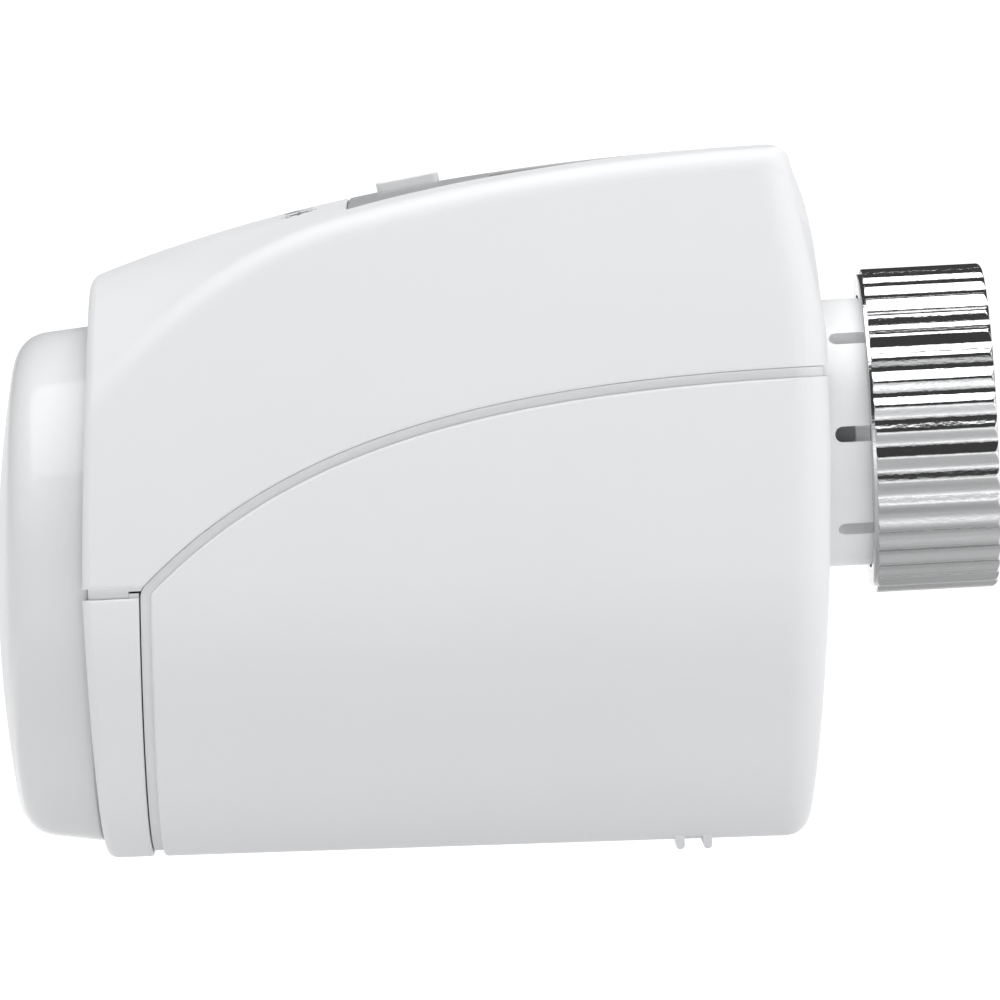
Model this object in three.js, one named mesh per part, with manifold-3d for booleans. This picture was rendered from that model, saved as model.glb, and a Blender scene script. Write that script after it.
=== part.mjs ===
// Motorised radiator valve head: a battery-powered actuator that screws onto a
// thermostatic valve with an M30 x 1.5 union nut.
//
// Millimetres. Origin: centre of the union nut's open end face. +X points from the
// head to the valve, +Z to the display side, and the dial is at the -X end.

import * as THREE from 'three';
import { mergeVertices } from 'three/addons/utils/BufferGeometryUtils.js';
import Module from 'manifold-3d';

const wasm = await Module();
wasm.setup();

// ---------------------------------------------------------------- driving dimensions

const GAP = 0.3;                    // clearance between neighbouring solids

// Housing envelope: a round lower half, flat sides and an arched top.
const BODY_RADIUS = 28.5;
const FRONT_X = -92.4;              // dial end of the housing
const END_X = -16.95;               // valve end of the housing
const END_PEAK_Z = 8;               // height at which the valve end stands furthest out
const CREST_X = -20;                // the crest is highest here
const CREST_Z = 29.8;
const WALL = 1.8;
const SHOULDER_FILLET = 2.2;

// Parting line between the upper housing and the battery cover. The bezel's rear edge is
// square to the dial's axis.
const SEAM_Z = 7.175;
const SEAM_FALL = { 2: 1.92e-3, 4: 4.398e-7, 8: 4.05e-15 };   // fall by powers of distance
const SEAM_CORNER_Z = -11.2;        // where the seam meets the front bezel
const BEZEL_REAR_X = -86.7;         // rear edge of the front bezel at that corner
const PARTING = 0.25;               // open gap between neighbouring housing pieces
const GROOVE = 0.8;                 // width of the recessed lip that shows in each seam
const GROOVE_DEPTH = 0.6;

// Dial: its axis leans up a little towards the user.
const DIAL_TILT = THREE.MathUtils.degToRad(2.1);
const DIAL_ORIGIN = new THREE.Vector3(-91.8, 0, -11.43);
const DIAL_RADIUS = 26.4;
const DIAL_HEIGHT = 10.33;
const DIAL_DOME_RADIUS = 131;
const DIAL_SHAFT_RADIUS = 3.9;
const POCKET_RADIUS = 27.05;
const POCKET_FLOOR = 1.7;           // behind the dial's rear plane

// Display panel on the top.
const PANEL_LEFT_X = -64.2;
const PANEL_SPLIT_X = -49.8;        // grey button strip to the left, lens to the right
const PANEL_RIGHT_X = -32.3;
const PANEL_HALF_LEFT = 22.3;
const PANEL_HALF_SPLIT = 19.6;
const PANEL_THICKNESS = 1.5;

// Three push buttons in a row across the strip.
const BUTTON_X = -58.1;
const BUTTON_LENGTH = 6.4;
const BUTTON_WIDTH = 4.4;
const BUTTON_PITCH = 5.9;
const BUTTON_PROUD = 0.9;
const BUTTON_CORNER = 0.6;
const BUTTON_TILT = THREE.MathUtils.degToRad(8.1);

// Circuit board under the panel.
const BOARD_TILT = THREE.MathUtils.degToRad(5);
const BOARD_ORIGIN = new THREE.Vector3(-46, 0, 22.2);
const BOARD_SCREWS = [[-22, -15.5], [-22, 15.5]];
const BOARD_THICKNESS = 1.2;

// Two AA cells side by side.
const CELL_RADIUS = 7.25;
const CELL_LENGTH = 50.5;
const CELL_PITCH = 14.8;
const CELL_Z = -29.2;
const BAY_LEFT_X = -82.4;           // inner faces of the chassis's end walls
const BAY_RIGHT_X = -23.2;
const DECK_Z = -19;
const DECK_THICKNESS = 1.6;

// Valve end: slotted collar, union nut, plunger.
const NUT_LENGTH = 12.8;
const NUT_RADIUS = 16.6;
const NUT_RIBS = 40;
const NUT_RIB_DEPTH = 0.4;
const THREAD_RADIUS = 14.2;         // minor radius of M30 x 1.5
const COLLAR_RADIUS = 13.7;
const COLLAR_BORE = 11.3;
const COLLAR_TIP_X = -8.6;
const COLLAR_SLOTS = 8;
const COLLAR_SLOT_WIDTH = 1.6;
const COLLAR_SLOT_END_X = -16.3;
const PLUNGER_TIP_X = -10.5;        // fully retracted
const SPINDLE_RADIUS = 3;

// Reduction gears, module 0.6: pinion 10 > 30/10 > 30/12 > 36.
const MODULE = 0.6;
const PRESSURE_ANGLE = THREE.MathUtils.degToRad(20);
const BACKLASH = 0.16;
const PINION_TEETH = 10;
const WHEEL_TEETH = 30;
const LAST_PINION_TEETH = 12;
const OUTPUT_TEETH = 36;
const SECOND_WHEEL_BEARING = THREE.MathUtils.degToRad(195);   // seen from the output gear
const FIRST_WHEEL_BEARING = THREE.MathUtils.degToRad(88);     // seen from the second wheel
const AXLE_RADIUS = 1;

// Gearbox casing.
const GEARBOX = { left: -35.2, right: -21.2, back: -25.2, front: 14.5, low: -15, high: 19.5, wall: 1.4 };

// ---------------------------------------------------------------- solids

function toSolid(geometry) {
  const bare = geometry.clone();
  bare.deleteAttribute('normal');
  bare.deleteAttribute('uv');
  const merged = mergeVertices(bare, 1e-4);
  const positions = merged.attributes.position.array;
  const corners = merged.index.array;
  const triangles = [];
  let volume = 0;
  const a = new THREE.Vector3();
  const b = new THREE.Vector3();
  const c = new THREE.Vector3();
  for (let i = 0; i < corners.length; i += 3) {
    const [p, q, r] = [corners[i], corners[i + 1], corners[i + 2]];
    if (p === q || q === r || r === p) continue;
    triangles.push(p, q, r);
    a.fromArray(positions, 3 * p);
    b.fromArray(positions, 3 * q);
    c.fromArray(positions, 3 * r);
    volume += a.dot(b.cross(c));
  }
  if (volume < 0) triangles.reverse();
  const vertProperties = new Float32Array(positions);
  const triVerts = new Uint32Array(triangles);
  return new wasm.Manifold(new wasm.Mesh({ numProp: 3, vertProperties, triVerts }));
}

function toGeometry(solid) {
  const mesh = solid.getMesh();
  const geometry = new THREE.BufferGeometry();
  geometry.setAttribute('position', new THREE.BufferAttribute(mesh.vertProperties, 3));
  geometry.setIndex(new THREE.BufferAttribute(mesh.triVerts, 1));
  geometry.computeVertexNormals();
  return geometry;
}

const joined = (first, ...rest) => rest.reduce((solid, other) => solid.add(other), first);
const cut = (first, ...rest) => rest.reduce((solid, other) => solid.subtract(other), first);
const common = (first, ...rest) => rest.reduce((solid, other) => solid.intersect(other), first);

const X = new THREE.Vector3(1, 0, 0);
const Y = new THREE.Vector3(0, 1, 0);
const Z = new THREE.Vector3(0, 0, 1);
const minus = (vector) => vector.clone().negate();

// Box between two corners.
function block(x0, x1, y0, y1, z0, z1) {
  const geometry = new THREE.BoxGeometry(x1 - x0, y1 - y0, z1 - z0);
  return toSolid(geometry.translate((x0 + x1) / 2, (y0 + y1) / 2, (z0 + z1) / 2));
}

// Prism of an outline in the YZ plane, between two X positions.
function prismX(shape, x0, x1, curveSegments = 6) {
  const geometry = new THREE.ExtrudeGeometry(shape, { depth: x1 - x0, bevelEnabled: false, curveSegments });
  geometry.applyMatrix4(new THREE.Matrix4().makeBasis(Y, Z, X));
  return toSolid(geometry.translate(x0, 0, 0));
}

// Prism of an outline in the XZ plane, between two Y positions.
function prismY(shape, y0, y1, curveSegments = 6) {
  const geometry = new THREE.ExtrudeGeometry(shape, { depth: y1 - y0, bevelEnabled: false, curveSegments });
  geometry.applyMatrix4(new THREE.Matrix4().makeBasis(X, Z, minus(Y)));
  return toSolid(geometry.translate(0, y1, 0));
}

// Prism of an outline in the XY plane, between two Z positions.
function prismZ(shape, z0, z1, curveSegments = 6) {
  const geometry = new THREE.ExtrudeGeometry(shape, { depth: z1 - z0, bevelEnabled: false, curveSegments });
  return toSolid(geometry.translate(0, 0, z0));
}

// Body of revolution about a line along X. Each profile point is [x, radius].
function turnedX(profile, segments, y = 0, z = 0) {
  const points = profile.map(([x, radius]) => new THREE.Vector2(radius, x));
  const geometry = new THREE.LatheGeometry(points, segments);
  geometry.applyMatrix4(new THREE.Matrix4().makeBasis(Y, X, minus(Z)));
  return toSolid(geometry.translate(0, y, z));
}

// Body of revolution about a line along Z. Each profile point is [z, radius].
function turnedZ(profile, segments, x = 0, y = 0) {
  const points = profile.map(([z, radius]) => new THREE.Vector2(radius, z));
  const geometry = new THREE.LatheGeometry(points, segments);
  geometry.applyMatrix4(new THREE.Matrix4().makeBasis(X, Z, minus(Y)));
  return toSolid(geometry.translate(x, y, 0));
}

const rodX = (x0, x1, radius, segments, y = 0, z = 0) =>
  turnedX([[x0, 0], [x0, radius], [x1, radius], [x1, 0]], segments, y, z);
const rodZ = (z0, z1, radius, segments, x = 0, y = 0) =>
  turnedZ([[z0, 0], [z0, radius], [z1, radius], [z1, 0]], segments, x, y);
const ringX = (x0, x1, inner, outer, segments, y = 0, z = 0) =>
  turnedX([[x0, inner], [x0, outer], [x1, outer], [x1, inner], [x0, inner]], segments, y, z);

// The same solid, moved by a matrix.
function moved(solid, matrix) {
  return toSolid(toGeometry(solid).applyMatrix4(matrix));
}

function polygon(points) {
  return new THREE.Shape(points.map(([u, v]) => new THREE.Vector2(u, v)));
}

function roundedRectangle(width, height, radius, u = 0, v = 0) {
  const shape = new THREE.Shape();
  const [right, top] = [width / 2 - radius, height / 2 - radius];
  shape.absarc(u + right, v + top, radius, 0, Math.PI / 2);
  shape.absarc(u - right, v + top, radius, Math.PI / 2, Math.PI);
  shape.absarc(u - right, v - top, radius, Math.PI, 1.5 * Math.PI);
  shape.absarc(u + right, v - top, radius, 1.5 * Math.PI, 2 * Math.PI);
  return shape;
}

// ---------------------------------------------------------------- scene graph

const group = new THREE.Group();

const FINISHES = {
  white: { color: 0xe9eaec, roughness: 0.45, metalness: 0 },
  innerWhite: { color: 0xd9dadc, roughness: 0.6, metalness: 0 },
  lightGrey: { color: 0xb9bbbd, roughness: 0.5, metalness: 0 },
  darkLens: { color: 0x2b2d2f, roughness: 0.12, metalness: 0 },
  glass: { color: 0x8f9a8c, roughness: 0.2, metalness: 0 },
  chrome: { color: 0xd6d8da, roughness: 0.12, metalness: 1 },
  steel: { color: 0xa9abad, roughness: 0.3, metalness: 1 },
  darkGrey: { color: 0x55585a, roughness: 0.5, metalness: 0 },
  black: { color: 0x1c1d1e, roughness: 0.5, metalness: 0 },
  acetal: { color: 0xe4e0d3, roughness: 0.4, metalness: 0 },
  board: { color: 0x1f6b3a, roughness: 0.5, metalness: 0 },
  cell: { color: 0x3a6f8f, roughness: 0.35, metalness: 0.2 },
  red: { color: 0xb3261e, roughness: 0.5, metalness: 0 },
};

function addPart(name, solid, finish, parent = group) {
  const mesh = new THREE.Mesh(toGeometry(solid), new THREE.MeshStandardMaterial(FINISHES[finish]));
  mesh.name = name;
  parent.add(mesh);
}

// ---------------------------------------------------------------- housing envelope

const clamp01 = (value) => Math.min(1, Math.max(0, value));

const bottomHeight = (x) => -39.77 - 0.01946 * (x + 85.17);
const crestHeight = (x) => CREST_Z - 1.434e-3 * (CREST_X - x) ** 2 - 1.057e-7 * (CREST_X - x) ** 4;
const shoulderDrop = (x) =>
  0.75 + 8e-4 * (CREST_X - x) ** 2 + 0.0131 * Math.max(0, CREST_X - 46 - x) ** 2;
const seamHeight = (x) => Object.entries(SEAM_FALL).reduce(
  (height, [power, share]) => height - share * (CREST_X - x) ** Number(power), SEAM_Z);
const seamSlope = (x) => Object.entries(SEAM_FALL).reduce(
  (slope, [power, share]) => slope + Number(power) * share * (CREST_X - x) ** (power - 1), 0);
const bezelRear = (z) => BEZEL_REAR_X + Math.tan(DIAL_TILT) * (z - SEAM_CORNER_Z);

// The dial end leans back above the dial's axis, more at the sides than in the middle.
function frontFace(y, z) {
  const rise = Math.max(0, z + 12);
  return FRONT_X + rise * (0.00138 * rise + 0.045 * (y / BODY_RADIUS) ** 2);
}

// The valve end is slightly bowed.
function endFace(z) {
  const fall = END_PEAK_Z - z;
  return fall < 0 ? END_X - fall ** 2 / 150 : END_X - 0.03 * fall - 8.3e-4 * fall ** 2;
}

// One section has four stretches: round lower half, side, shoulder fillet, arched top.
const RING = { lower: 16, side: 1, fillet: 2, arch: 6 };
const RING_POINTS = RING.lower + 2 * (RING.side + RING.fillet) + RING.arch;

// Point number `index` of the section at x, moved in from the surface by `inset`, with
// the radius of the rounding that it gets at the valve end.
function sectionPoint(index, x, inset) {
  const radius = BODY_RADIUS - inset;
  const centre = bottomHeight(x) + BODY_RADIUS;
  if (index <= RING.lower) {
    const angle = Math.PI + Math.PI * index / RING.lower;
    const y = radius * Math.cos(angle);
    return { y, z: centre + radius * Math.sin(angle), round: 2.5 + 1.5 * Math.abs(y) / radius };
  }
  const half = (RING_POINTS + RING.lower) / 2;
  if (index > half) {
    const mirrored = sectionPoint(2 * half - index, x, inset);
    return { y: -mirrored.y, z: mirrored.z, round: mirrored.round };
  }
  const crest = crestHeight(x) - inset;
  const drop = shoulderDrop(x);
  const shoulder = crest - drop;
  const archRadius = (radius ** 2 + drop ** 2) / (2 * drop);
  const archEdge = Math.asin(radius / archRadius);
  const archStart = archEdge - SHOULDER_FILLET / archRadius;
  const archPoint = (angle) => [archRadius * Math.sin(angle), crest - archRadius * (1 - Math.cos(angle))];
  let step = index - RING.lower;
  if (step <= RING.side) {
    const top = shoulder - SHOULDER_FILLET;
    return { y: radius, z: centre + (top - centre) * step / RING.side, round: 4 };
  }
  step -= RING.side;
  if (step <= RING.fillet) {
    const t = step / RING.fillet;
    const [endY, endZ] = archPoint(archStart);
    const [startWeight, cornerWeight, endWeight] = [(1 - t) ** 2, 2 * t * (1 - t), t ** 2];
    return {
      y: (startWeight + cornerWeight) * radius + endWeight * endY,
      z: startWeight * (shoulder - SHOULDER_FILLET) + cornerWeight * shoulder + endWeight * endZ,
      round: 4 - 2.4 * t,
    };
  }
  step -= RING.fillet;
  const [y, z] = archPoint(archStart * (1 - 2 * step / RING.arch));
  return { y, z, round: 1.6 };
}

// The housing's solid envelope, moved in from the outer surface by `inset`.
function envelope(inset) {
  const FRONT_ROUND = 1;
  const frontRings = [1, 0.5, 0];
  const mainRings = 8;
  const endRings = [0.35, 0.7, 1];
  const faceRings = [0.8, 0.5];
  const middleZ = -5;
  const positions = [];
  const rounded = (index, x, corner, quarter) => {
    const edge = sectionPoint(index, x, inset + corner * (1 - Math.cos(quarter * Math.PI / 2)));
    return [x, edge.y, edge.z];
  };
  const frontX = (point, quarter, corner) =>
    frontFace(point.y, point.z) + inset + corner * (1 - Math.sin(quarter * Math.PI / 2));
  const endX = (point, quarter, corner) =>
    endFace(point.z) - inset - corner * (1 - Math.sin(quarter * Math.PI / 2));
  const rings = [];
  const ring = (place) => {
    const points = [];
    for (let index = 0; index < RING_POINTS; index += 1) points.push(place(index));
    rings.push(points);
  };
  const frontCorner = Math.max(0.3, FRONT_ROUND - inset);
  const endCorner = (point) => Math.max(0.3, point.round - inset);
  const atFront = (index) => sectionPoint(index, frontFace(0, 0), inset);
  const atEnd = (index) => sectionPoint(index, END_X, inset);
  const onFrontFace = (y, z) => [frontFace(y, z) + inset, y, z];
  const onEndFace = (y, z) => [endFace(z) - inset, y, z];
  const faceRing = (outline, share, place) => {
    rings.push(outline.map(([, y, z]) => place(y * share, middleZ + (z - middleZ) * share)));
  };
  for (const quarter of frontRings) {
    ring((index) => rounded(index, frontX(atFront(index), quarter, frontCorner), frontCorner, quarter));
  }
  const frontOutline = rings[0];
  for (const share of faceRings) {
    faceRing(frontOutline, share, onFrontFace);
    rings.unshift(rings.pop());
  }
  for (let i = 1; i <= mainRings; i += 1) {
    const share = (i / mainRings) ** 1.25;
    ring((index) => {
      const start = frontX(atFront(index), 0, frontCorner);
      const stop = endX(atEnd(index), 0, endCorner(atEnd(index)));
      return rounded(index, start + (stop - start) * share, 0, 0);
    });
  }
  for (const quarter of endRings) {
    ring((index) => {
      const corner = endCorner(atEnd(index));
      return rounded(index, endX(atEnd(index), quarter, corner), corner, quarter);
    });
  }
  const endOutline = rings[rings.length - 1];
  for (const share of faceRings) faceRing(endOutline, share, onEndFace);
  rings.forEach((points) => points.forEach((point) => positions.push(...point)));
  const triangles = [];
  for (let i = 0; i + 1 < rings.length; i += 1) {
    for (let j = 0; j < RING_POINTS; j += 1) {
      const next = (j + 1) % RING_POINTS;
      const [a, b] = [i * RING_POINTS + j, i * RING_POINTS + next];
      const [c, d] = [a + RING_POINTS, b + RING_POINTS];
      triangles.push(a, b, c, b, d, c);
    }
  }
  const last = (rings.length - 1) * RING_POINTS;
  const frontCentre = positions.length / 3;
  positions.push(...onFrontFace(0, middleZ), ...onEndFace(0, middleZ));
  for (let j = 0; j < RING_POINTS; j += 1) {
    const next = (j + 1) % RING_POINTS;
    triangles.push(frontCentre, next, j);
    triangles.push(frontCentre + 1, last + j, last + next);
  }
  const geometry = new THREE.BufferGeometry();
  geometry.setAttribute('position', new THREE.Float32BufferAttribute(positions, 3));
  geometry.setIndex(triangles);
  return toSolid(geometry);
}

const outerEnvelope = envelope(0);
const grooveEnvelope = envelope(GROOVE_DEPTH);
const innerEnvelope = envelope(WALL);
const shell = cut(outerEnvelope, innerEnvelope);
const lipShell = cut(grooveEnvelope, innerEnvelope);

// ---------------------------------------------------------------- parting lines

const FAR = 60;                     // beyond the housing on every side

// Points along the seam, shifted square to it by `offset` (positive is towards the cover),
// from the valve end to the level `stopZ`.
function seamPoints(offset, stopZ) {
  const steps = 16;
  const length = -FRONT_X;
  const points = [];
  for (let i = 0; i <= steps; i += 1) {
    const x = -length * i / steps;
    const bend = seamSlope(Math.min(x, CREST_X));
    const stretch = Math.hypot(1, bend);
    const z = seamHeight(Math.min(x, CREST_X));
    const point = [x + offset * bend / stretch, z - offset / stretch];
    if (point[1] < stopZ) {
      const before = points[points.length - 1];
      const t = (before[1] - stopZ) / (before[1] - point[1]);
      points.push([before[0] + (point[0] - before[0]) * t, stopZ]);
      return points;
    }
    points.push(point);
  }
  return points;
}

// Everything above the seam, and above the bezel's top edge.
function upperRegion() {
  const seam = seamPoints(0, SEAM_CORNER_Z);
  return prismY(polygon([[0, FAR], ...seam, [-FAR * 2, SEAM_CORNER_Z], [-FAR * 2, FAR]]), -FAR, FAR);
}

// The bezel's rear edge, square to the dial's axis, from the level `top` downwards,
// shifted by `offset` along X.
const rearPoints = (offset, top) =>
  [[bezelRear(top) + offset, top], [bezelRear(-FAR) + offset, -FAR]];

// Everything that belongs to the battery cover, `offset` below the seam and behind the
// bezel's rear edge.
function coverRegion(offset) {
  const top = SEAM_CORNER_Z - offset;
  const seam = seamPoints(offset, top);
  return prismY(polygon([[0, -FAR], ...seam, ...rearPoints(offset, top)]), -FAR, FAR);
}

const bezelRegion = (top) =>
  prismY(polygon([[-FAR * 2, -FAR], [-FAR * 2, top], ...rearPoints(0, top)]), -FAR, FAR);

// ---------------------------------------------------------------- dial end

const dialMatrix = new THREE.Matrix4().makeRotationY(DIAL_TILT).setPosition(DIAL_ORIGIN);

// A group whose origin is the centre of the dial's rear plane, with -X out along its axis.
const dialGroup = new THREE.Group();
dialGroup.position.copy(DIAL_ORIGIN);
dialGroup.rotation.y = DIAL_TILT;
group.add(dialGroup);

// Depth of the dial's dome below its apex, at a radius.
const domeFall = (radius) => DIAL_DOME_RADIUS - Math.sqrt(DIAL_DOME_RADIUS ** 2 - radius ** 2);

// Outer profile of the dial from the apex to the rear edge, as [x, radius].
function dialProfile() {
  const points = [];
  for (const radius of [0, 4.8, 13]) {
    points.push([-(DIAL_HEIGHT - domeFall(radius)), radius]);
  }
  const start = new THREE.Vector2(-(DIAL_HEIGHT - domeFall(22.3)), 22.3);
  const corner = new THREE.Vector2(-7.95, 25.45);
  const end = new THREE.Vector2(-4.9, 25.83);
  for (const point of new THREE.QuadraticBezierCurve(start, corner, end).getPoints(3)) {
    points.push([point.x, point.y]);
  }
  points.push([-0.2, DIAL_RADIUS], [0.5, DIAL_RADIUS - 0.6]);
  return points;
}

function dialKnob() {
  const wall = 2.2;
  const innerRadius = DIAL_RADIUS - wall - 0.4;
  const hub = 6.5;
  const profile = [
    ...dialProfile(),
    [0.5, innerRadius],
    [-5.2, innerRadius - 1],
    [-6.2, innerRadius - 2.4],
    [-DIAL_HEIGHT + 2.6, hub],
    [-0.6, hub],
    [-0.6, DIAL_SHAFT_RADIUS],
    [8.6, DIAL_SHAFT_RADIUS],
    [8.6, DIAL_SHAFT_RADIUS - 0.7],
    [9.6, DIAL_SHAFT_RADIUS - 0.7],
    [9.6, DIAL_SHAFT_RADIUS - 0.2],
    [10.2, DIAL_SHAFT_RADIUS - 0.9],
    [14, DIAL_SHAFT_RADIUS - 0.9],
    [14, 0],
  ];
  return turnedX(profile, 32);
}

// E-clip that holds the dial's shaft behind its bearing.
function dialClip() {
  const ring = ringX(8.75, 9.45, DIAL_SHAFT_RADIUS - 0.5, DIAL_SHAFT_RADIUS + 2, 18);
  return cut(ring, block(8, 10, -2.4, 2.4, 0, 8));
}

// Front bezel: the half band below the upper housing, and the bearing plate behind the dial.
function frontBezel() {
  const band = common(shell, bezelRegion(SEAM_CORNER_Z - PARTING - GROOVE));
  const lip = common(lipShell, bezelRegion(SEAM_CORNER_Z - PARTING));
  const pocket = moved(rodX(-20, POCKET_FLOOR, POCKET_RADIUS, 32), dialMatrix);
  const plate = moved(rodX(POCKET_FLOOR, POCKET_FLOOR + 1.7, POCKET_RADIUS - GAP, 32), dialMatrix);
  const bush = moved(rodX(POCKET_FLOOR, 8.2, 6.5, 18), dialMatrix);
  const web = common(cut(outerEnvelope, envelope(WALL + 1)), bezelRegion(SEAM_CORNER_Z - 1.5), moved(
    rodX(POCKET_FLOOR, POCKET_FLOOR + 1.7, FAR, 18), dialMatrix));
  const bore = moved(rodX(-1, 12, DIAL_SHAFT_RADIUS + GAP, 18), dialMatrix);
  const inside = common(joined(cut(joined(band, lip), pocket), plate, bush, web), outerEnvelope);
  return cut(inside, bore, ...bezelScrewHoles());
}

// Screws from the dial pocket into the chassis.
const BEZEL_SCREWS = [[-18, -14], [18, -14]];
const BEZEL_SCREW_SEAT_X = -90.3;
const bezelScrewHoles = () =>
  BEZEL_SCREWS.map(([y, z]) => rodX(-95, -84, 1.3, 8, y, z));

// Rotary encoder behind the bezel, driven by the end of the dial's shaft.
function encoderBody() {
  const body = block(10.9, 16.4, -6.2, 6.2, -6.2, 6.2);
  const collar = rodX(10.4, 11, 4.6, 16);
  return cut(joined(body, collar), rodX(9, 14.4, DIAL_SHAFT_RADIUS - 0.6, 16));
}

addPart('dial_knob', dialKnob(), 'white', dialGroup);
addPart('dial_retaining_clip', dialClip(), 'steel', dialGroup);
addPart('dial_encoder', encoderBody(), 'darkGrey', dialGroup);
addPart('encoder_board', block(16.7, 17.9, -11, 11, -5.8, 12.5), 'board', dialGroup);
addPart('front_bezel', frontBezel(), 'white');

// ---------------------------------------------------------------- display panel outline

// Half outline of the panel, as [x, half width], from the left edge to the lens's round end.
function panelShape(xStart, xStop, margin) {
  const halfWidth = (x) => {
    if (x <= PANEL_SPLIT_X) {
      const share = (x - PANEL_LEFT_X) / (PANEL_SPLIT_X - PANEL_LEFT_X);
      return PANEL_HALF_LEFT + (PANEL_HALF_SPLIT - PANEL_HALF_LEFT) * share;
    }
    const share = clamp01((x - PANEL_SPLIT_X) / (PANEL_RIGHT_X - PANEL_SPLIT_X));
    return PANEL_HALF_SPLIT * Math.sqrt(1 - share ** 2);
  };
  const xs = [xStart];
  if (xStart < PANEL_SPLIT_X && xStop > PANEL_SPLIT_X) xs.push(PANEL_SPLIT_X);
  if (xStop > PANEL_SPLIT_X) {
    const steps = 9;
    for (let i = 1; i <= steps; i += 1) {
      const share = Math.sin(i / steps * Math.PI / 2);
      xs.push(PANEL_SPLIT_X + (PANEL_RIGHT_X - PANEL_SPLIT_X) * share);
    }
  } else {
    xs.push(xStop);
  }
  const side = xs.map((x, i) => {
    const atStart = i === 0 ? -margin : 0;
    const past = xStop > PANEL_SPLIT_X ? margin * clamp01((x - PANEL_SPLIT_X) / 10) : 0;
    const atEnd = i === xs.length - 1 && xStop <= PANEL_SPLIT_X ? margin : 0;
    const tip = i === xs.length - 1 && xStop > PANEL_SPLIT_X;
    return [x + atStart + past + atEnd, tip ? 0 : halfWidth(x) + margin];
  });
  const mirrored = side.filter(([, half]) => half > 0).reverse().map(([x, half]) => [x, -half]);
  return polygon([...side, ...mirrored]);
}

const panelShell = cut(outerEnvelope, envelope(PANEL_THICKNESS));
const panelPiece = (shape) => common(panelShell, prismZ(shape, 15, FAR));

// ---------------------------------------------------------------- buttons

const buttonGroup = new THREE.Group();
buttonGroup.position.set(BUTTON_X, 0, crestHeight(BUTTON_X));
buttonGroup.rotation.y = -BUTTON_TILT;
group.add(buttonGroup);
const buttonMatrix = new THREE.Matrix4().makeRotationY(-BUTTON_TILT)
  .setPosition(BUTTON_X, 0, crestHeight(BUTTON_X));

const BUTTONS = [
  { name: 'near', y: -BUTTON_PITCH },
  { name: 'centre', y: 0 },
  { name: 'far', y: BUTTON_PITCH },
];

function buttonHoles(margin) {
  const [length, width] = [BUTTON_LENGTH + 2 * margin, BUTTON_WIDTH + 2 * margin];
  return BUTTONS.map(({ y }) => moved(
    prismZ(roundedRectangle(length, width, BUTTON_CORNER + margin, 0, y), -6, 6, 2), buttonMatrix));
}

// A key with chamfered top edges, a skirt that stops it falling out, and a stem.
function button(y) {
  const top = BUTTON_PROUD;
  const chamfer = 0.2;
  const [length, width] = [BUTTON_LENGTH, BUTTON_WIDTH];
  const cap = prismZ(roundedRectangle(length, width, BUTTON_CORNER, 0, y), -2.2, top - chamfer, 2);
  const crown = prismZ(
    roundedRectangle(length - 2 * chamfer, width - 2 * chamfer, BUTTON_CORNER - chamfer, 0, y), -2, top, 2);
  const skirt = block(-length / 2 - 0.8, length / 2 + 0.8,
    y - width / 2 - 0.5, y + width / 2 + 0.5, -3.2, -2.35);
  const stem = rodZ(-3.5, -2.3, 1.4, 8, 0, y);
  return joined(cap, crown, block(-2, 2, y - 1.6, y + 1.6, -2.6, -2), skirt, stem);
}

for (const { name, y } of BUTTONS) {
  addPart(`button_${name}`, button(y), 'lightGrey', buttonGroup);
}

addPart('button_strip',
  cut(panelPiece(panelShape(PANEL_LEFT_X, PANEL_SPLIT_X, 0)), ...buttonHoles(0.3)), 'lightGrey');
addPart('display_lens', panelPiece(panelShape(PANEL_SPLIT_X + GAP, PANEL_RIGHT_X, 0)), 'darkLens');

// ---------------------------------------------------------------- upper housing

const boardMatrix = new THREE.Matrix4().makeRotationY(-BOARD_TILT).setPosition(BOARD_ORIGIN);

// Screw posts that hang from the upper housing down to the chassis's deck.
const POSTS = [
  { x: -77, y: -22, top: 6 }, { x: -77, y: 22, top: 6 },
  { x: -40.5, y: 22, top: 14 }, { x: -50, y: -22, top: 14 },
];
const POST_BASE_Z = DECK_Z + GAP;

function screwPost({ x, y, top }) {
  const side = Math.sign(y);
  const wallY = side * (BODY_RADIUS - WALL / 2);
  const [low, high] = [Math.min(y, wallY), Math.max(y, wallY)];
  return joined(
    rodZ(POST_BASE_Z, top, 2.6, 10, x, y),
    block(x - 0.8, x + 0.8, low, high, top - 6, top));
}

function upperHousing() {
  const window = prismZ(panelShape(PANEL_LEFT_X, PANEL_RIGHT_X, GAP), 15, FAR);
  const dialPocket = moved(rodX(-20, 12, POCKET_RADIUS, 32), dialMatrix);
  const collarHole = rodX(-30, 0, COLLAR_RADIUS + GAP, 32);
  const skin = cut(common(shell, upperRegion()), window, dialPocket, collarHole);
  const boardBosses = BOARD_SCREWS.map(([x, y]) => common(
    moved(rodZ(BOARD_THICKNESS / 2 + GAP, 8, 2.2, 10, x, y), boardMatrix), envelope(WALL / 2)));
  const posts = POSTS.map(screwPost);
  const holes = [
    ...POSTS.map(({ x, y }) => rodZ(POST_BASE_Z - 1, POST_BASE_Z + 9, 1, 8, x, y)),
    ...BOARD_SCREWS.map(([x, y]) => moved(rodZ(0, 3.4, 1, 8, x, y), boardMatrix)),
  ];
  return cut(joined(skin, ...posts, ...boardBosses), ...holes);
}

addPart('upper_housing', upperHousing(), 'white');

// ---------------------------------------------------------------- battery cover

// Short grip ridge under the cover.
function gripRidge(x) {
  const outline = new THREE.Shape();
  const tip = bottomHeight(x) - 0.3;
  outline.moveTo(x - 0.45, tip + 2);
  outline.absarc(x, tip, 0.45, Math.PI, 2 * Math.PI);
  outline.lineTo(x + 0.45, tip + 2);
  return prismY(outline, -6, 6, 6);
}

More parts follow.
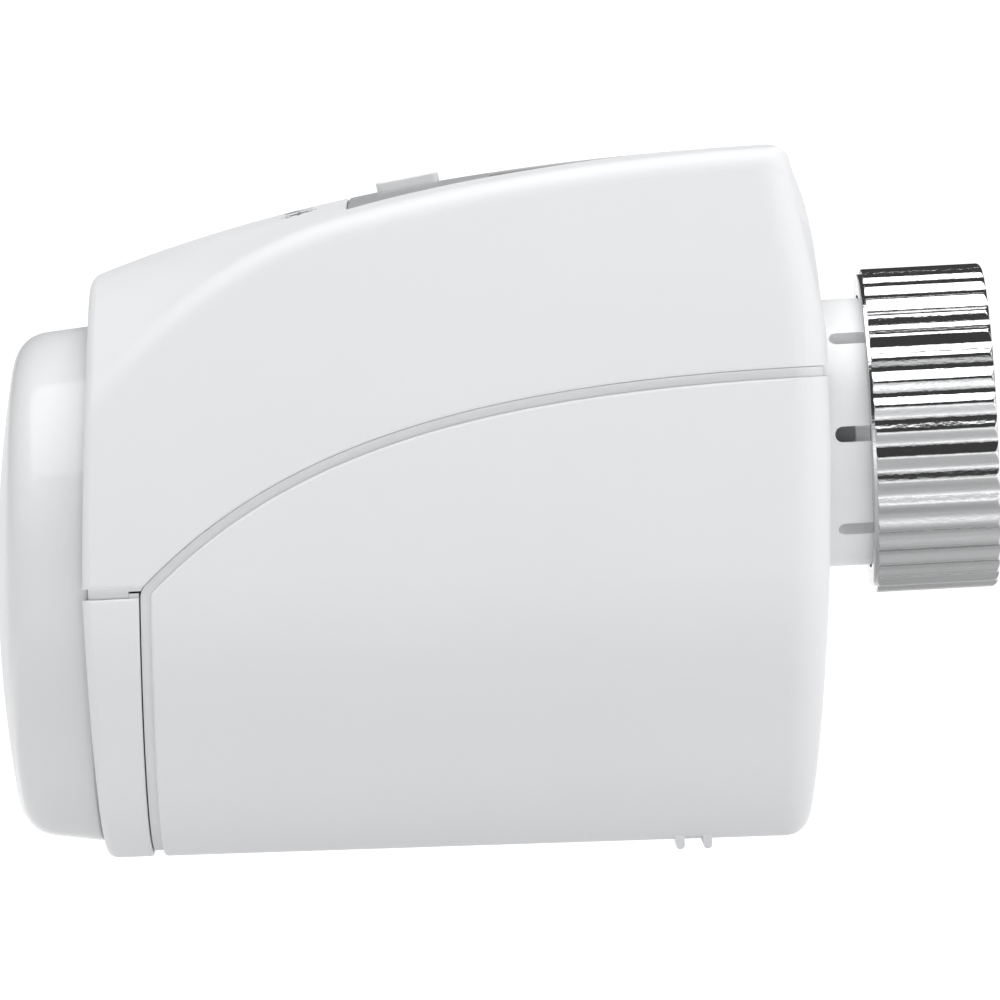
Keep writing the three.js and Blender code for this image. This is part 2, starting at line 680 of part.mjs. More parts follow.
function batteryCover() {
  const panel = common(shell, coverRegion(PARTING + GROOVE));
  const lip = common(lipShell, coverRegion(PARTING));
  const ridges = [-33.9, -31.1].map((x) => cut(gripRidge(x), envelope(WALL / 2)));
  const collarSlot = joined(
    rodX(-30, 0, COLLAR_RADIUS + GAP, 32),
    block(-30, 0, -COLLAR_RADIUS - GAP, COLLAR_RADIUS + GAP, 0, 20));
  return cut(joined(panel, lip, ...ridges), collarSlot);
}

addPart('battery_cover', batteryCover(), 'white');

// ---------------------------------------------------------------- chassis

const CELL_YS = [-CELL_PITCH / 2, CELL_PITCH / 2];

function chassis() {
  const deck = block(-84, -21.6, -25.4, 25.4, DECK_Z - DECK_THICKNESS, DECK_Z);
  const leftWall = block(-84, BAY_LEFT_X, -25.4, 25.4, -38, DECK_Z - 1);
  const rightWall = block(BAY_RIGHT_X, -21.6, -22, 22, -38, DECK_Z - 1);
  const cradle = block(BAY_LEFT_X - 0.5, BAY_RIGHT_X + 0.5, -16.4, 16.4, -26, DECK_Z - 1);
  const bays = CELL_YS.map((y) => rodX(BAY_LEFT_X, BAY_RIGHT_X, CELL_RADIUS + GAP + 0.1, 20, y, CELL_Z));
  const leadChannels = CELL_YS.map((y) =>
    block(BAY_RIGHT_X - 1.6, BAY_RIGHT_X + 0.4, y - 1.2, y + 2, CELL_Z + 4, DECK_Z + 1));
  const contactSlots = [
    block(BAY_LEFT_X, BAY_LEFT_X + 1, -12.4, 12.4, CELL_Z - 5, CELL_Z + 5),
    block(BAY_RIGHT_X - 1, BAY_RIGHT_X, -12.8, 12.8, CELL_Z - 5.4, CELL_Z + 5.4),
  ];
  const lugs = BEZEL_SCREWS.map(([y, z]) => joined(
    rodX(-87.6, -82.6, 2.6, 10, y, z),
    block(-84, -82.6, y - 2.6, y + 2.6, DECK_Z - 1, z)));
  const holes = [
    ...POSTS.map(({ x, y }) => rodZ(-22, -17, 1.3, 8, x, y)),
    ...BEZEL_SCREWS.map(([y, z]) => rodX(-88, -83.4, 1, 8, y, z)),
    ...GEARBOX_FEET.map(([x, y]) => rodZ(-22, -17, 1.1, 8, x, y)),
  ];
  const body = joined(deck, leftWall, rightWall, cradle, ...lugs);
  const hollows = [...bays, ...contactSlots, ...leadChannels, ...holes];
  return common(cut(body, ...hollows), envelope(WALL + 0.5));
}

// ---------------------------------------------------------------- cells and contacts

// One AA cell: `nub` is the X of the positive end's tip and `way` points from there to
// the negative end.
function cell(y, nub, way) {
  const at = (distance) => nub + way * distance;
  const profile = [
    [at(0), 0], [at(0), 2.6], [at(1.5), 2.75], [at(1.5), 6.2], [at(2.1), CELL_RADIUS],
    [at(CELL_LENGTH - 0.7), CELL_RADIUS], [at(CELL_LENGTH), CELL_RADIUS - 0.7], [at(CELL_LENGTH), 0],
  ];
  return turnedX(profile, 20, y, CELL_Z);
}

// Coiled contact spring, as the tapered envelope of its turns.
function contactSpring(y, from, to) {
  const profile = [[from, 0], [from, 4.4], [to, 2.6], [to, 0]];
  return turnedX(profile, 12, y, CELL_Z);
}

const CONTACT = { left: BAY_LEFT_X + 0.3, right: BAY_RIGHT_X - 0.3, thickness: 0.4 };
const leftNub = CONTACT.left + CONTACT.thickness + GAP;
const rightNub = CONTACT.right - CONTACT.thickness - GAP;

// Plate that links the two cells at the dial end.
function bridgeContact() {
  return block(CONTACT.left, CONTACT.left + CONTACT.thickness, -12, 12, CELL_Z - 4.5, CELL_Z + 4.5);
}

// Terminal plate for one cell at the valve end.
function terminalContact(y) {
  return block(CONTACT.right - CONTACT.thickness, CONTACT.right, y - 5, y + 5, CELL_Z - 5, CELL_Z + 5);
}

addPart('battery_near', cell(CELL_YS[0], rightNub, -1), 'cell');
addPart('battery_far', cell(CELL_YS[1], leftNub, 1), 'cell');
addPart('battery_link_contact', bridgeContact(), 'steel');
addPart('battery_terminal_near', terminalContact(CELL_YS[0]), 'steel');
addPart('battery_terminal_far', terminalContact(CELL_YS[1]), 'steel');
addPart('battery_spring_near',
  contactSpring(CELL_YS[0], leftNub, rightNub - CELL_LENGTH - GAP), 'steel');
addPart('battery_spring_far',
  contactSpring(CELL_YS[1], rightNub, leftNub + CELL_LENGTH + GAP), 'steel');

// ---------------------------------------------------------------- gear train

const pitchRadius = (teeth) => MODULE * teeth / 2;
const spacing = (teeth, mate) => pitchRadius(teeth) + pitchRadius(mate);
const involute = (angle) => Math.tan(angle) - angle;

const OUTPUT_AXIS = { y: 0, z: 0 };
function axisFrom(centre, distance, bearing) {
  return { y: centre.y + distance * Math.cos(bearing), z: centre.z + distance * Math.sin(bearing) };
}
const SECOND_AXIS = axisFrom(OUTPUT_AXIS, spacing(LAST_PINION_TEETH, OUTPUT_TEETH), SECOND_WHEEL_BEARING);
const FIRST_AXIS = axisFrom(SECOND_AXIS, spacing(PINION_TEETH, WHEEL_TEETH), FIRST_WHEEL_BEARING);
const MOTOR_AXIS = axisFrom(FIRST_AXIS, spacing(PINION_TEETH, WHEEL_TEETH), 0);

// Turn of a gear so that its teeth fit the gaps of a mate that is turned by `mateTurn`.
// `bearing` points from the mate to this gear.
function meshTurn(mateTeeth, mateTurn, teeth, bearing) {
  const mateArc = pitchRadius(mateTeeth) * (mateTurn - bearing);
  return bearing + Math.PI - (mateArc + Math.PI * MODULE / 2) / pitchRadius(teeth);
}

// Spur gear with involute flanks.
function gearShape(teeth, turn, centre) {
  const pitch = pitchRadius(teeth);
  const base = pitch * Math.cos(PRESSURE_ANGLE);
  const tip = pitch + 0.8 * MODULE;
  const root = pitch - 1.15 * MODULE;
  const halfTooth = (Math.PI * MODULE / 2 - BACKLASH) / (2 * pitch);
  const halfAngle = (radius) => {
    const pressure = Math.acos(Math.min(1, base / radius));
    return halfTooth + involute(PRESSURE_ANGLE) - involute(pressure);
  };
  const flank = [[root, halfAngle(Math.max(root, base))], [tip, halfAngle(tip)]];
  const points = [];
  for (let i = 0; i < teeth; i += 1) {
    const middle = turn + 2 * Math.PI * i / teeth;
    const rising = flank.map(([radius, half]) => [radius, middle - half]);
    const falling = [...flank].reverse().map(([radius, half]) => [radius, middle + half]);
    for (const [radius, angle] of [...rising, ...falling]) {
      points.push([centre.y + radius * Math.cos(angle), centre.z + radius * Math.sin(angle)]);
    }
  }
  return polygon(points);
}

const outputTurn = 0;
const secondTurn = meshTurn(OUTPUT_TEETH, outputTurn, LAST_PINION_TEETH, SECOND_WHEEL_BEARING);
const firstTurn = meshTurn(WHEEL_TEETH, secondTurn, PINION_TEETH, FIRST_WHEEL_BEARING);
const motorTurn = meshTurn(WHEEL_TEETH, firstTurn, PINION_TEETH, 0);

// A wheel and a smaller pinion moulded in one piece, running on a fixed axle.
function compoundGear(axis, turn, pinionTeeth, wheel, pinion) {
  const solid = joined(
    prismX(gearShape(WHEEL_TEETH, turn, axis), wheel[0], wheel[1]),
    prismX(gearShape(pinionTeeth, turn, axis), pinion[0], pinion[1]),
    rodX(wheel[0] - 0.4, pinion[1] + 0.2, 1.9, 10, axis.y, axis.z));
  return cut(solid, rodX(-60, 0, AXLE_RADIUS + GAP, 10, axis.y, axis.z));
}

function outputGear() {
  const solid = joined(
    prismX(gearShape(OUTPUT_TEETH, outputTurn, OUTPUT_AXIS), -26.4, -23.4),
    rodX(-30.5, -26, 4.3, 16),
    rodX(-27.6, -21.4, 5.8, 16));
  return cut(solid, rodX(-40, 0, SPINDLE_RADIUS + GAP, 16));
}

function motorPinion() {
  const { y, z } = MOTOR_AXIS;
  return joined(
    prismX(gearShape(PINION_TEETH, motorTurn, MOTOR_AXIS), -34.9, -31.6),
    rodX(-40.5, -31.4, 0.75, 8, y, z));
}

addPart('output_gear', outputGear(), 'acetal');
addPart('second_gear',
  compoundGear(SECOND_AXIS, secondTurn, LAST_PINION_TEETH, [-30.3, -28.1], [-28.2, -23.4]), 'acetal');
addPart('first_gear',
  compoundGear(FIRST_AXIS, firstTurn, PINION_TEETH, [-34.4, -32.2], [-32.3, -27.9]), 'acetal');
addPart('motor_pinion', motorPinion(), 'steel');
addPart('second_gear_axle', rodX(-36.6, -21.8, AXLE_RADIUS, 10, SECOND_AXIS.y, SECOND_AXIS.z), 'steel');
addPart('first_gear_axle', rodX(-36.6, -21.8, AXLE_RADIUS, 10, FIRST_AXIS.y, FIRST_AXIS.z), 'steel');

// ---------------------------------------------------------------- gearbox and motor

const GEARBOX_FEET = [[-29, -20.5], [-29, 20.5]];
const COVER_SCREWS = [[-22.8, -12.6], [12.1, 17.1], [12.1, -12.6]];
const COVER_X = [-37, -35.5];

function gearboxBase() {
  const { left, right, back, front, low, high, wall } = GEARBOX;
  const outside = block(left, right, back, front, low, high);
  const inside = block(left - 1, right - wall - 0.1, back + wall, front - wall, low + wall, high - wall);
  const bosses = COVER_SCREWS.map(([y, z]) => rodX(left, right - 1, 2.3, 8, y, z));
  const feet = GEARBOX_FEET.map(([x, y]) => rodZ(DECK_Z + GAP, low + 1.5, 2.6, 10, x, y));
  const arm = block(-31.4, -26.6, front - 1, 20.5, low, low + 1.5);
  const holes = [
    rodX(-23, -20, 5.8 + GAP, 16),
    rodX(-23, -21.5, AXLE_RADIUS + GAP, 8, SECOND_AXIS.y, SECOND_AXIS.z),
    rodX(-23, -21.5, AXLE_RADIUS + GAP, 8, FIRST_AXIS.y, FIRST_AXIS.z),
    ...COVER_SCREWS.map(([y, z]) => rodX(left - 1, left + 7, 1, 8, y, z)),
    ...GEARBOX_FEET.map(([x, y]) => rodZ(DECK_Z, low + 0.6, 1, 8, x, y)),
  ];
  return cut(joined(cut(outside, inside), ...bosses, ...feet, arm), ...holes);
}

function gearboxCover() {
  const { back, front, low, high } = GEARBOX;
  const plate = block(COVER_X[0], COVER_X[1], back, front, low, high);
  const holes = [
    rodX(-40, -30, 2.2, 16, MOTOR_AXIS.y, MOTOR_AXIS.z),
    ...MOTOR_SCREWS.map(([y, z]) => rodX(-40, -30, 1.1, 8, y, z)),
    ...COVER_SCREWS.map(([y, z]) => rodX(-40, -30, 1.3, 8, y, z)),
    rodX(-40, -30, AXLE_RADIUS + GAP, 8, SECOND_AXIS.y, SECOND_AXIS.z),
    rodX(-40, -30, AXLE_RADIUS + GAP, 8, FIRST_AXIS.y, FIRST_AXIS.z),
  ];
  return cut(plate, ...holes);
}

// Small DC motor: a can with flats, a front boss and a rear cap.
const MOTOR_RADIUS = 10;
const MOTOR_FLAT = 7.6;
const MOTOR_SCREWS = [-6, 6].map((offset) => [MOTOR_AXIS.y, MOTOR_AXIS.z + offset]);

function motor() {
  const { y, z } = MOTOR_AXIS;
  const can = turnedX([
    [-61, 0], [-61, MOTOR_RADIUS - 1], [-60, MOTOR_RADIUS], [-38.3, MOTOR_RADIUS],
    [-37.3, MOTOR_RADIUS - 1], [-37.3, 0],
  ], 24, y, z);
  const flats = block(-62, -37, y - 12, y + 12, z - MOTOR_FLAT, z + MOTOR_FLAT);
  const boss = rodX(-38, -36.4, 1.8, 12, y, z);
  const cap = rodX(-62.6, -60.8, 3, 12, y, z);
  const shaftHole = rodX(-41, -36, 1.05, 8, y, z);
  const screwHoles = MOTOR_SCREWS.map(([sy, sz]) => rodX(-41, -37, 1, 8, sy, sz));
  return cut(joined(common(can, flats), boss, cap), shaftHole, ...screwHoles);
}

addPart('gearbox_base', gearboxBase(), 'innerWhite');
addPart('gearbox_cover', gearboxCover(), 'innerWhite');
addPart('motor', motor(), 'steel');
addPart('chassis', chassis(), 'innerWhite');

// ---------------------------------------------------------------- valve end

// Wave-edged outline of the union nut.
function nutOutline() {
  const points = [];
  for (let i = 0; i < NUT_RIBS * 2; i += 1) {
    const angle = Math.PI * i / NUT_RIBS;
    const radius = NUT_RADIUS - (i % 2) * NUT_RIB_DEPTH;
    points.push([radius * Math.cos(angle), radius * Math.sin(angle)]);
  }
  return polygon(points);
}

function unionNut() {
  const bore = turnedX([
    [-NUT_LENGTH - 1, 0], [-NUT_LENGTH - 1, COLLAR_RADIUS + GAP], [-11, COLLAR_RADIUS + GAP],
    [-11, 15.2], [-8.2, 15.2], [-8.2, THREAD_RADIUS], [-0.8, THREAD_RADIUS], [0, 15], [1, 15], [1, 0],
  ], 32);
  return cut(prismX(nutOutline(), -NUT_LENGTH, 0), bore);
}

// Slotted collar with snap hooks on its fingers, and a flange inside the housing.
function valveCollar() {
  const body = turnedX([
    [-20.9, COLLAR_BORE], [-20.9, 15.2], [-20.2, 15.2], [-20.2, COLLAR_RADIUS], [-10.6, COLLAR_RADIUS],
    [-10.6, 14.7], [-9.6, 14.7], [COLLAR_TIP_X, COLLAR_RADIUS], [COLLAR_TIP_X, COLLAR_BORE],
    [-20.9, COLLAR_BORE],
  ], 32);
  const slots = [];
  for (let i = 0; i < COLLAR_SLOTS; i += 1) {
    const turn = new THREE.Matrix4().makeRotationX(2 * Math.PI * i / COLLAR_SLOTS);
    const half = COLLAR_SLOT_WIDTH / 2;
    const outline = new THREE.Shape();
    outline.moveTo(0, -half);
    outline.lineTo(0, half);
    outline.absarc(COLLAR_SLOT_END_X + half, 0, half, Math.PI / 2, 1.5 * Math.PI);
    slots.push(moved(prismY(outline, 8, 20, 2), turn));
  }
  return cut(body, ...slots);
}

// Inner sleeve that keeps the plunger straight.
function plungerGuide() {
  const sleeve = ringX(-20.9, -12.4, 5.9, 10.8, 28);
  const keyways = block(-22, -12, -7.2, 7.2, -1.3, 1.3);
  return cut(sleeve, keyways);
}

// Threaded spindle with a keyed head that pushes the valve pin.
function plunger() {
  const spindle = rodX(-30.8, -14, SPINDLE_RADIUS, 16);
  const head = turnedX([[-16, 0], [-16, 5.4], [-11, 5.4], [PLUNGER_TIP_X, 4.9], [PLUNGER_TIP_X, 0]], 24);
  const keys = block(-18.6, -15.8, -6.8, 6.8, -1, 1);
  return joined(spindle, head, keys);
}

addPart('union_nut', unionNut(), 'chrome');
addPart('valve_collar', valveCollar(), 'white');
addPart('plunger_guide', plungerGuide(), 'darkGrey');
addPart('plunger', plunger(), 'acetal');

// ---------------------------------------------------------------- electronics

const boardGroup = new THREE.Group();
boardGroup.position.copy(BOARD_ORIGIN);
boardGroup.rotation.y = -BOARD_TILT;
group.add(boardGroup);

// Display glass in a frame with its backlight, between the board and the lens.
const LCD = { x: 6, length: 17, width: 24 };

function lcdFrame() {
  const { x, length, width } = LCD;
  const outside = block(x - length / 2 - 1, x + length / 2 + 1, -width / 2 - 1, width / 2 + 1, 0.9, 3.4);
  const seat = block(x - length / 2 - 0.3, x + length / 2 + 0.3, -width / 2 - 0.3, width / 2 + 0.3, 2, 4);
  return cut(outside, seat);
}

function mainBoard() {
  const half = BOARD_THICKNESS / 2;
  const outline = block(-25, 18.5, -18.5, 18.5, -half, half);
  const corners = [block(12, 20, 12, 20, -1, 1), block(12, 20, -20, -12, -1, 1)];
  const holes = BOARD_SCREWS.map(([x, y]) => rodZ(-1, 1, 1.3, 8, x, y));
  return cut(outline, ...corners, ...holes);
}

addPart('main_board', mainBoard(), 'board', boardGroup);
addPart('lcd_frame', lcdFrame(), 'innerWhite', boardGroup);
addPart('lcd_glass',
  block(LCD.x - LCD.length / 2, LCD.x + LCD.length / 2, -LCD.width / 2, LCD.width / 2, 2.3, 4),
  'glass', boardGroup);
addPart('microcontroller', block(0.5, 9.5, -13, -4, -2.3, -0.9), 'black', boardGroup);

// Tactile switch under each button: its body stands on the board.
function tactSwitch(y) {
  const body = block(-14.9, -8.9, y - 2.6, y + 2.6, 0.9, 1.9);
  const stem = rodZ(1.8, 2.1, 1.5, 8, -11.9, y);
  return joined(body, stem);
}

for (const { name, y } of BUTTONS) {
  addPart(`switch_${name}`, tactSwitch(y), 'black', boardGroup);
}

// ---------------------------------------------------------------- leads

// Insulated wire along a smooth route.
function lead(points, radius = 0.6) {
  const route = new THREE.CatmullRomCurve3(points.map(([x, y, z]) => new THREE.Vector3(x, y, z)));
  const outline = new THREE.Shape();
  outline.absarc(0, 0, radius, 0, 2 * Math.PI);
  const steps = points.length * 2;
  return toSolid(new THREE.ExtrudeGeometry(outline, { steps, extrudePath: route, curveSegments: 3 }));
}

const MOTOR_LEADS = [
  { name: 'motor_lead_red', y: MOTOR_AXIS.y + 5, finish: 'red' },
  { name: 'motor_lead_black', y: MOTOR_AXIS.y - 5, finish: 'black' },
];
for (const { name, y, finish } of MOTOR_LEADS) {
  const z = MOTOR_AXIS.z;
  addPart(name, lead([
    [-61.4, y, z], [-64, y, z + 0.6], [-65.6, y, z + 4], [-64.6, y, z + 8], [-62.6, y, z + 11.4],
  ]), finish);
}

const BATTERY_LEADS = [
  { name: 'battery_lead_near', y: CELL_YS[0], side: 20.8, level: -16.1, shift: -1.7, finish: 'black' },
  { name: 'battery_lead_far', y: CELL_YS[1], side: 18, level: -17.7, shift: 0, finish: 'red' },
];
for (const { name, y, side, level, shift, finish } of BATTERY_LEADS) {
  const x = CONTACT.right - CONTACT.thickness / 2;
  const away = x + shift;
  addPart(name, lead([
    [x, y, CELL_Z + 5.3], [x, y, level - 2], [x, y + 1, level], [away, (y + side) / 2, level],
    [away, side - 1.5, level], [away, side, -13], [away, side, 8], [x - 4.5, side - 0.5, 18],
    [x - 7, side - 2.6, 22.5],
  ]), finish);
}

// Flat ribbon from the encoder's board to the main board.
function encoderRibbon() {
  const route = new THREE.CatmullRomCurve3([
    [-73.6, 0, 2], [-75.2, 0, 8], [-75.4, 0, 13.5], [-73.6, 0, 17.6], [-70.4, 0, 19],
  ].map(([x, y, z]) => new THREE.Vector3(x, y, z)));
  const width = 7;
  const half = 0.2;
  const centre = route.getPoints(10);
  const edge = (side) => centre.map((point, i) => {
    const tangent = route.getTangent(i / 10);
    return [point.x - side * half * tangent.z, point.z + side * half * tangent.x];
  });
  return prismY(polygon([...edge(1), ...edge(-1).reverse()]), -width / 2, width / 2);
}

addPart('encoder_ribbon', encoderRibbon(), 'lightGrey');

// ---------------------------------------------------------------- screws

// Pan-head screw along a direction, its head's seat at the origin of its own frame.
function screwProfile(headRadius, headHeight, shankRadius, length) {
  return [
    [-headHeight, 0], [-headHeight, headRadius - 0.4], [0, headRadius],
    [0, shankRadius], [length - 0.8, shankRadius], [length, 0],
  ];
}

// Screw that enters along +X (way 1) or -X (way -1), with its head's seat at x.
function screwX(x, y, z, way, length) {
  const profile = screwProfile(2.1, 1.4, 0.75, length).map(([along, radius]) => [x + way * along, radius]);
  return turnedX(profile, 8, y, z);
}

// Screw that enters upwards or downwards, with its head's seat at z.
function screwZ(x, y, z, way, length) {
  const profile = screwProfile(2.1, 1.4, 0.75, length).map(([along, radius]) => [z + way * along, radius]);
  return turnedZ(profile, 8, x, y);
}

POSTS.forEach(({ x, y }, i) => {
  addPart(`housing_screw_${i + 1}`, screwZ(x, y, DECK_Z - DECK_THICKNESS - 0.05, 1, 9), 'steel');
});
COVER_SCREWS.forEach(([y, z], i) => {
  addPart(`gearbox_screw_${i + 1}`, screwX(COVER_X[0] - 0.05, y, z, 1, 8), 'steel');
});
MOTOR_SCREWS.forEach(([y, z], i) => {
  addPart(`motor_screw_${i + 1}`, screwX(COVER_X[1] + 0.05, y, z, -1, 4), 'steel');
});
GEARBOX_FEET.forEach(([x, y], i) => {
  addPart(`chassis_screw_${i + 1}`, screwZ(x, y, DECK_Z - DECK_THICKNESS - 0.05, 1, 5), 'steel');
});
BEZEL_SCREWS.forEach(([y, z], i) => {
  addPart(`bezel_screw_${i + 1}`, screwX(BEZEL_SCREW_SEAT_X, y, z, 1, 6), 'steel');
});
BOARD_SCREWS.forEach(([x, y], i) => {
  const half = BOARD_THICKNESS / 2;
  addPart(`board_screw_${i + 1}`, turnedZ(
    screwProfile(2.1, 1.4, 0.75, 4).map(([along, radius]) => [-half - 0.05 + along, radius]), 8, x, y),
  'steel', boardGroup);
});

export default group;
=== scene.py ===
"""Motorised radiator valve head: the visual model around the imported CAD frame.

Shapes are worked out in millimetres in the CAD's frame and scaled to metres when a piece
is finished. The origin is the centre of the union nut's open end; +X points to the
valve, +Z to the display side, and the near side of the object is at -Y.
"""

import math

import bmesh
import bpy
import numpy as np
from mathutils import Matrix, Vector


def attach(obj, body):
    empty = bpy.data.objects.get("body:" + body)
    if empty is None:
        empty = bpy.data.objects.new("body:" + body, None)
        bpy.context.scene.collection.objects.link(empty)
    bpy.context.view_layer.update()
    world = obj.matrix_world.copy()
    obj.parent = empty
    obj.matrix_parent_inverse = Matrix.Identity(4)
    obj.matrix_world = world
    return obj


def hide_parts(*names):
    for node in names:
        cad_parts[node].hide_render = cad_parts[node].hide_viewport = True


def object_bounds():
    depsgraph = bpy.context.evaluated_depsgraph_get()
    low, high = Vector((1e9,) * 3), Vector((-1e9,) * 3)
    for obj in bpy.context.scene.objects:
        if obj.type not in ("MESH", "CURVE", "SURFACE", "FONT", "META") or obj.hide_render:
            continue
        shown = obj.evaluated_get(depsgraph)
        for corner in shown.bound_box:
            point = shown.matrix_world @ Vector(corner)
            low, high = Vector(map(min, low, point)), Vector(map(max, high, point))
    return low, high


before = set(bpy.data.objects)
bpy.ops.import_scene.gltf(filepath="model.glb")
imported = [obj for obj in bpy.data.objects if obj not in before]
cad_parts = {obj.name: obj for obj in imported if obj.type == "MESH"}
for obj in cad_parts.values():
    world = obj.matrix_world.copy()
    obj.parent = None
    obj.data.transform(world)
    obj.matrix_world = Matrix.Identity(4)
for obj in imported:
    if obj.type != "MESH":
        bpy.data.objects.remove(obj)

MM = 0.001
QUARTER = math.pi / 2
cad_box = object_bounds()

# ---- dimensions (mm)

# Housing
BODY_RADIUS = 28.5
BOTTOM_X = -85.17
BOTTOM_Z = -39.77
BOTTOM_SLOPE = -0.01946
FRONT_X = -92.4
FRONT_ROUND = 1.0
FRONT_LEAN_Z = -12.0
FRONT_LEAN = 0.00138
FRONT_SIDE_LEAN = 0.045
END_X = -16.95
END_PEAK_Z = 8.0
END_BOW_ABOVE = 150.0
END_SLOPE_BELOW = 0.03
END_BOW_BELOW = 8.3e-4
END_ROUND_BOTTOM = 2.5
END_ROUND_SIDE = 4.0
END_ROUND_TOP = 1.6
CREST_X = -20.0
CREST_Z = 29.8
CREST_SQUARE = 1.434e-3
CREST_FOURTH = 1.057e-7
SHOULDER_DROP = 0.75
SHOULDER_SQUARE = 8e-4
SHOULDER_FRONT = 0.0131
SHOULDER_FRONT_START = 46.0
SHOULDER_FILLET = 2.2
WALL = 1.8
SEAM_Z = 7.175
SEAM_FALL = {2: 1.92e-3, 4: 4.398e-7, 8: 4.05e-15}
SEAM_CORNER_Z = -11.2
SEAM_GAP = 0.05
BEZEL_REAR_X = -86.7
BEZEL_GAP = 0.14
COVER_CORNER = 1.8
GROOVE = 1.05
GROOVE_DEPTH = 0.6
BEZEL_TOP_Z = SEAM_CORNER_Z - 1.1
BEZEL_LIP_Z = SEAM_CORNER_Z - 0.64
TONGUE_Z = SEAM_CORNER_Z - 0.44
TONGUE_LEFT_X = -91.9
TONGUE_RIGHT_X = -87.75
EDGE_ROUND = 0.32
SMALLEST_ROUND = 0.3
RIDGE_XS = (-33.9, -31.1)
RIDGE_RADIUS = 0.45
COVER_TRAVEL = 60.0

# Dial
DIAL_TILT = math.radians(2.1)
DIAL_ORIGIN = (-91.8, 0.0, -11.43)
DIAL_RADIUS = 26.4
DIAL_HEIGHT = 10.33
DIAL_DOME_RADIUS = 131.0
DIAL_SHAFT_RADIUS = 3.9
POCKET_RADIUS = 27.05
POCKET_FLOOR = 1.7
BEARING_THICKNESS = 1.7

# Display panel and buttons
PANEL_LEFT_X = -64.2
PANEL_SPLIT_X = -49.8
PANEL_RIGHT_X = -32.3
PANEL_HALF_LEFT = 22.3
PANEL_HALF_SPLIT = 19.6
PANEL_THICKNESS = 1.5
PANEL_GAP = 0.08
BUTTON_X = -58.1
BUTTON_LENGTH = 6.4
BUTTON_WIDTH = 4.4
BUTTON_CORNER = 0.7
BUTTON_PITCH = 5.9
BUTTON_PROUD = 0.9
BUTTON_CHAMFER = 0.3
BUTTON_TILT = math.radians(8.1)
ICON_X = -69.2
MOON_Y = -7.6
SUN_Y = -13.0

# Circuit board
BOARD_TILT = math.radians(5)
BOARD_ORIGIN = (-46.0, 0.0, 22.2)
BOARD_SCREWS = ((-22.0, -15.5), (-22.0, 15.5))
BOARD_THICKNESS = 1.2

# Battery bay
CELL_RADIUS = 7.25
CELL_LENGTH = 50.5
CELL_YS = (-7.4, 7.4)
CELL_Z = -29.2
BAY_LEFT_X = -82.4
BAY_RIGHT_X = -23.2
DECK_Z = -19.0
DECK_THICKNESS = 1.6
CHASSIS_LEFT_X = -84.0
CHASSIS_RIGHT_X = -21.6
POST_RADIUS = 2.6
BOSS_RADIUS = 2.2
PILOT_RADIUS = 1.0
SCREW_WAY_RADIUS = 1.3
POSTS = ((-77.0, -22.0, 6.0), (-77.0, 22.0, 6.0), (-40.5, 22.0, 14.0), (-50.0, -22.0, 14.0))

GEARBOX_FEET = ((-29.0, -20.5), (-29.0, 20.5))
GEARBOX_FOOT_RADIUS = 1.1
BEZEL_SCREWS = ((-18.0, -14.0), (18.0, -14.0))
BEZEL_SCREW_SEAT_X = -90.3
CONTACT_LEFT_X = BAY_LEFT_X + 0.3
CONTACT_RIGHT_X = BAY_RIGHT_X - 0.3
CONTACT_THICKNESS = 0.4
LEFT_NUB_X = CONTACT_LEFT_X + CONTACT_THICKNESS + 0.3
RIGHT_NUB_X = CONTACT_RIGHT_X - CONTACT_THICKNESS - 0.3
SPRING_WIDE_RADIUS = 4.05
SPRING_NARROW_RADIUS = 2.35

# Valve end
NUT_LENGTH = 12.8
NUT_RADIUS = 16.6
NUT_RIBS = 40
NUT_RIB_DEPTH = 0.4
NUT_RIM = 0.45
NUT_RIM_RADIUS = 16.12
NUT_END_ROUND = 0.55
NUT_RECESS_RADIUS = 15.2
NUT_RECESS_X = -11.0
THREAD_START_X = -0.8
THREAD_STOP_X = -8.2
THREAD_RADIUS = 14.2
THREAD_PITCH = 1.5
COLLAR_RADIUS = 13.7
COLLAR_BORE = 11.3
COLLAR_ROOT_X = -20.9
COLLAR_FLANGE_RADIUS = 15.2
COLLAR_FLANGE_X = -20.2
COLLAR_TIP_X = -8.6
COLLAR_SLOTS = 8
COLLAR_SLOT_WIDTH = 1.6
COLLAR_SLOT_END_X = -16.3
COLLAR_CLEARANCE = 0.3
GUIDE_RADIUS = 10.8
GUIDE_BORE = 5.9
PLUNGER_TIP_X = -10.5
SPINDLE_RADIUS = 3.0

# ---- mesh tools


def linked(name, data):
    """A new object with this data, in the scene."""
    obj = bpy.data.objects.new(name, data)
    bpy.context.scene.collection.objects.link(obj)
    return obj


def mesh_object(vertices, faces):
    """A new object, in millimetres, with its faces turned outwards."""
    mesh = bpy.data.meshes.new("piece")
    mesh.from_pydata([tuple(v) for v in vertices], [], faces)
    form = bmesh.new()
    form.from_mesh(mesh)
    bmesh.ops.recalc_face_normals(form, faces=form.faces)
    form.to_mesh(mesh)
    form.free()
    return linked("piece", mesh)


def skin(rings, loop=False):
    """Closed solid over rings of points: its ends are joined up, or capped by fans."""
    rings = np.asarray(rings, float)
    count, size = rings.shape[:2]
    vertices = list(rings.reshape(-1, 3))
    faces = []
    for i in range(count if loop else count - 1):
        below, above = i * size, (i + 1) % count * size
        for j in range(size):
            k = (j + 1) % size
            faces.append((below + j, below + k, above + k, above + j))
    if not loop:
        for ring, start in ((rings[0], 0), (rings[-1], (count - 1) * size)):
            vertices.append(ring.mean(axis=0))
            centre = len(vertices) - 1
            faces += [(centre, start + j, start + (j + 1) % size) for j in range(size)]
    return mesh_object(vertices, faces)


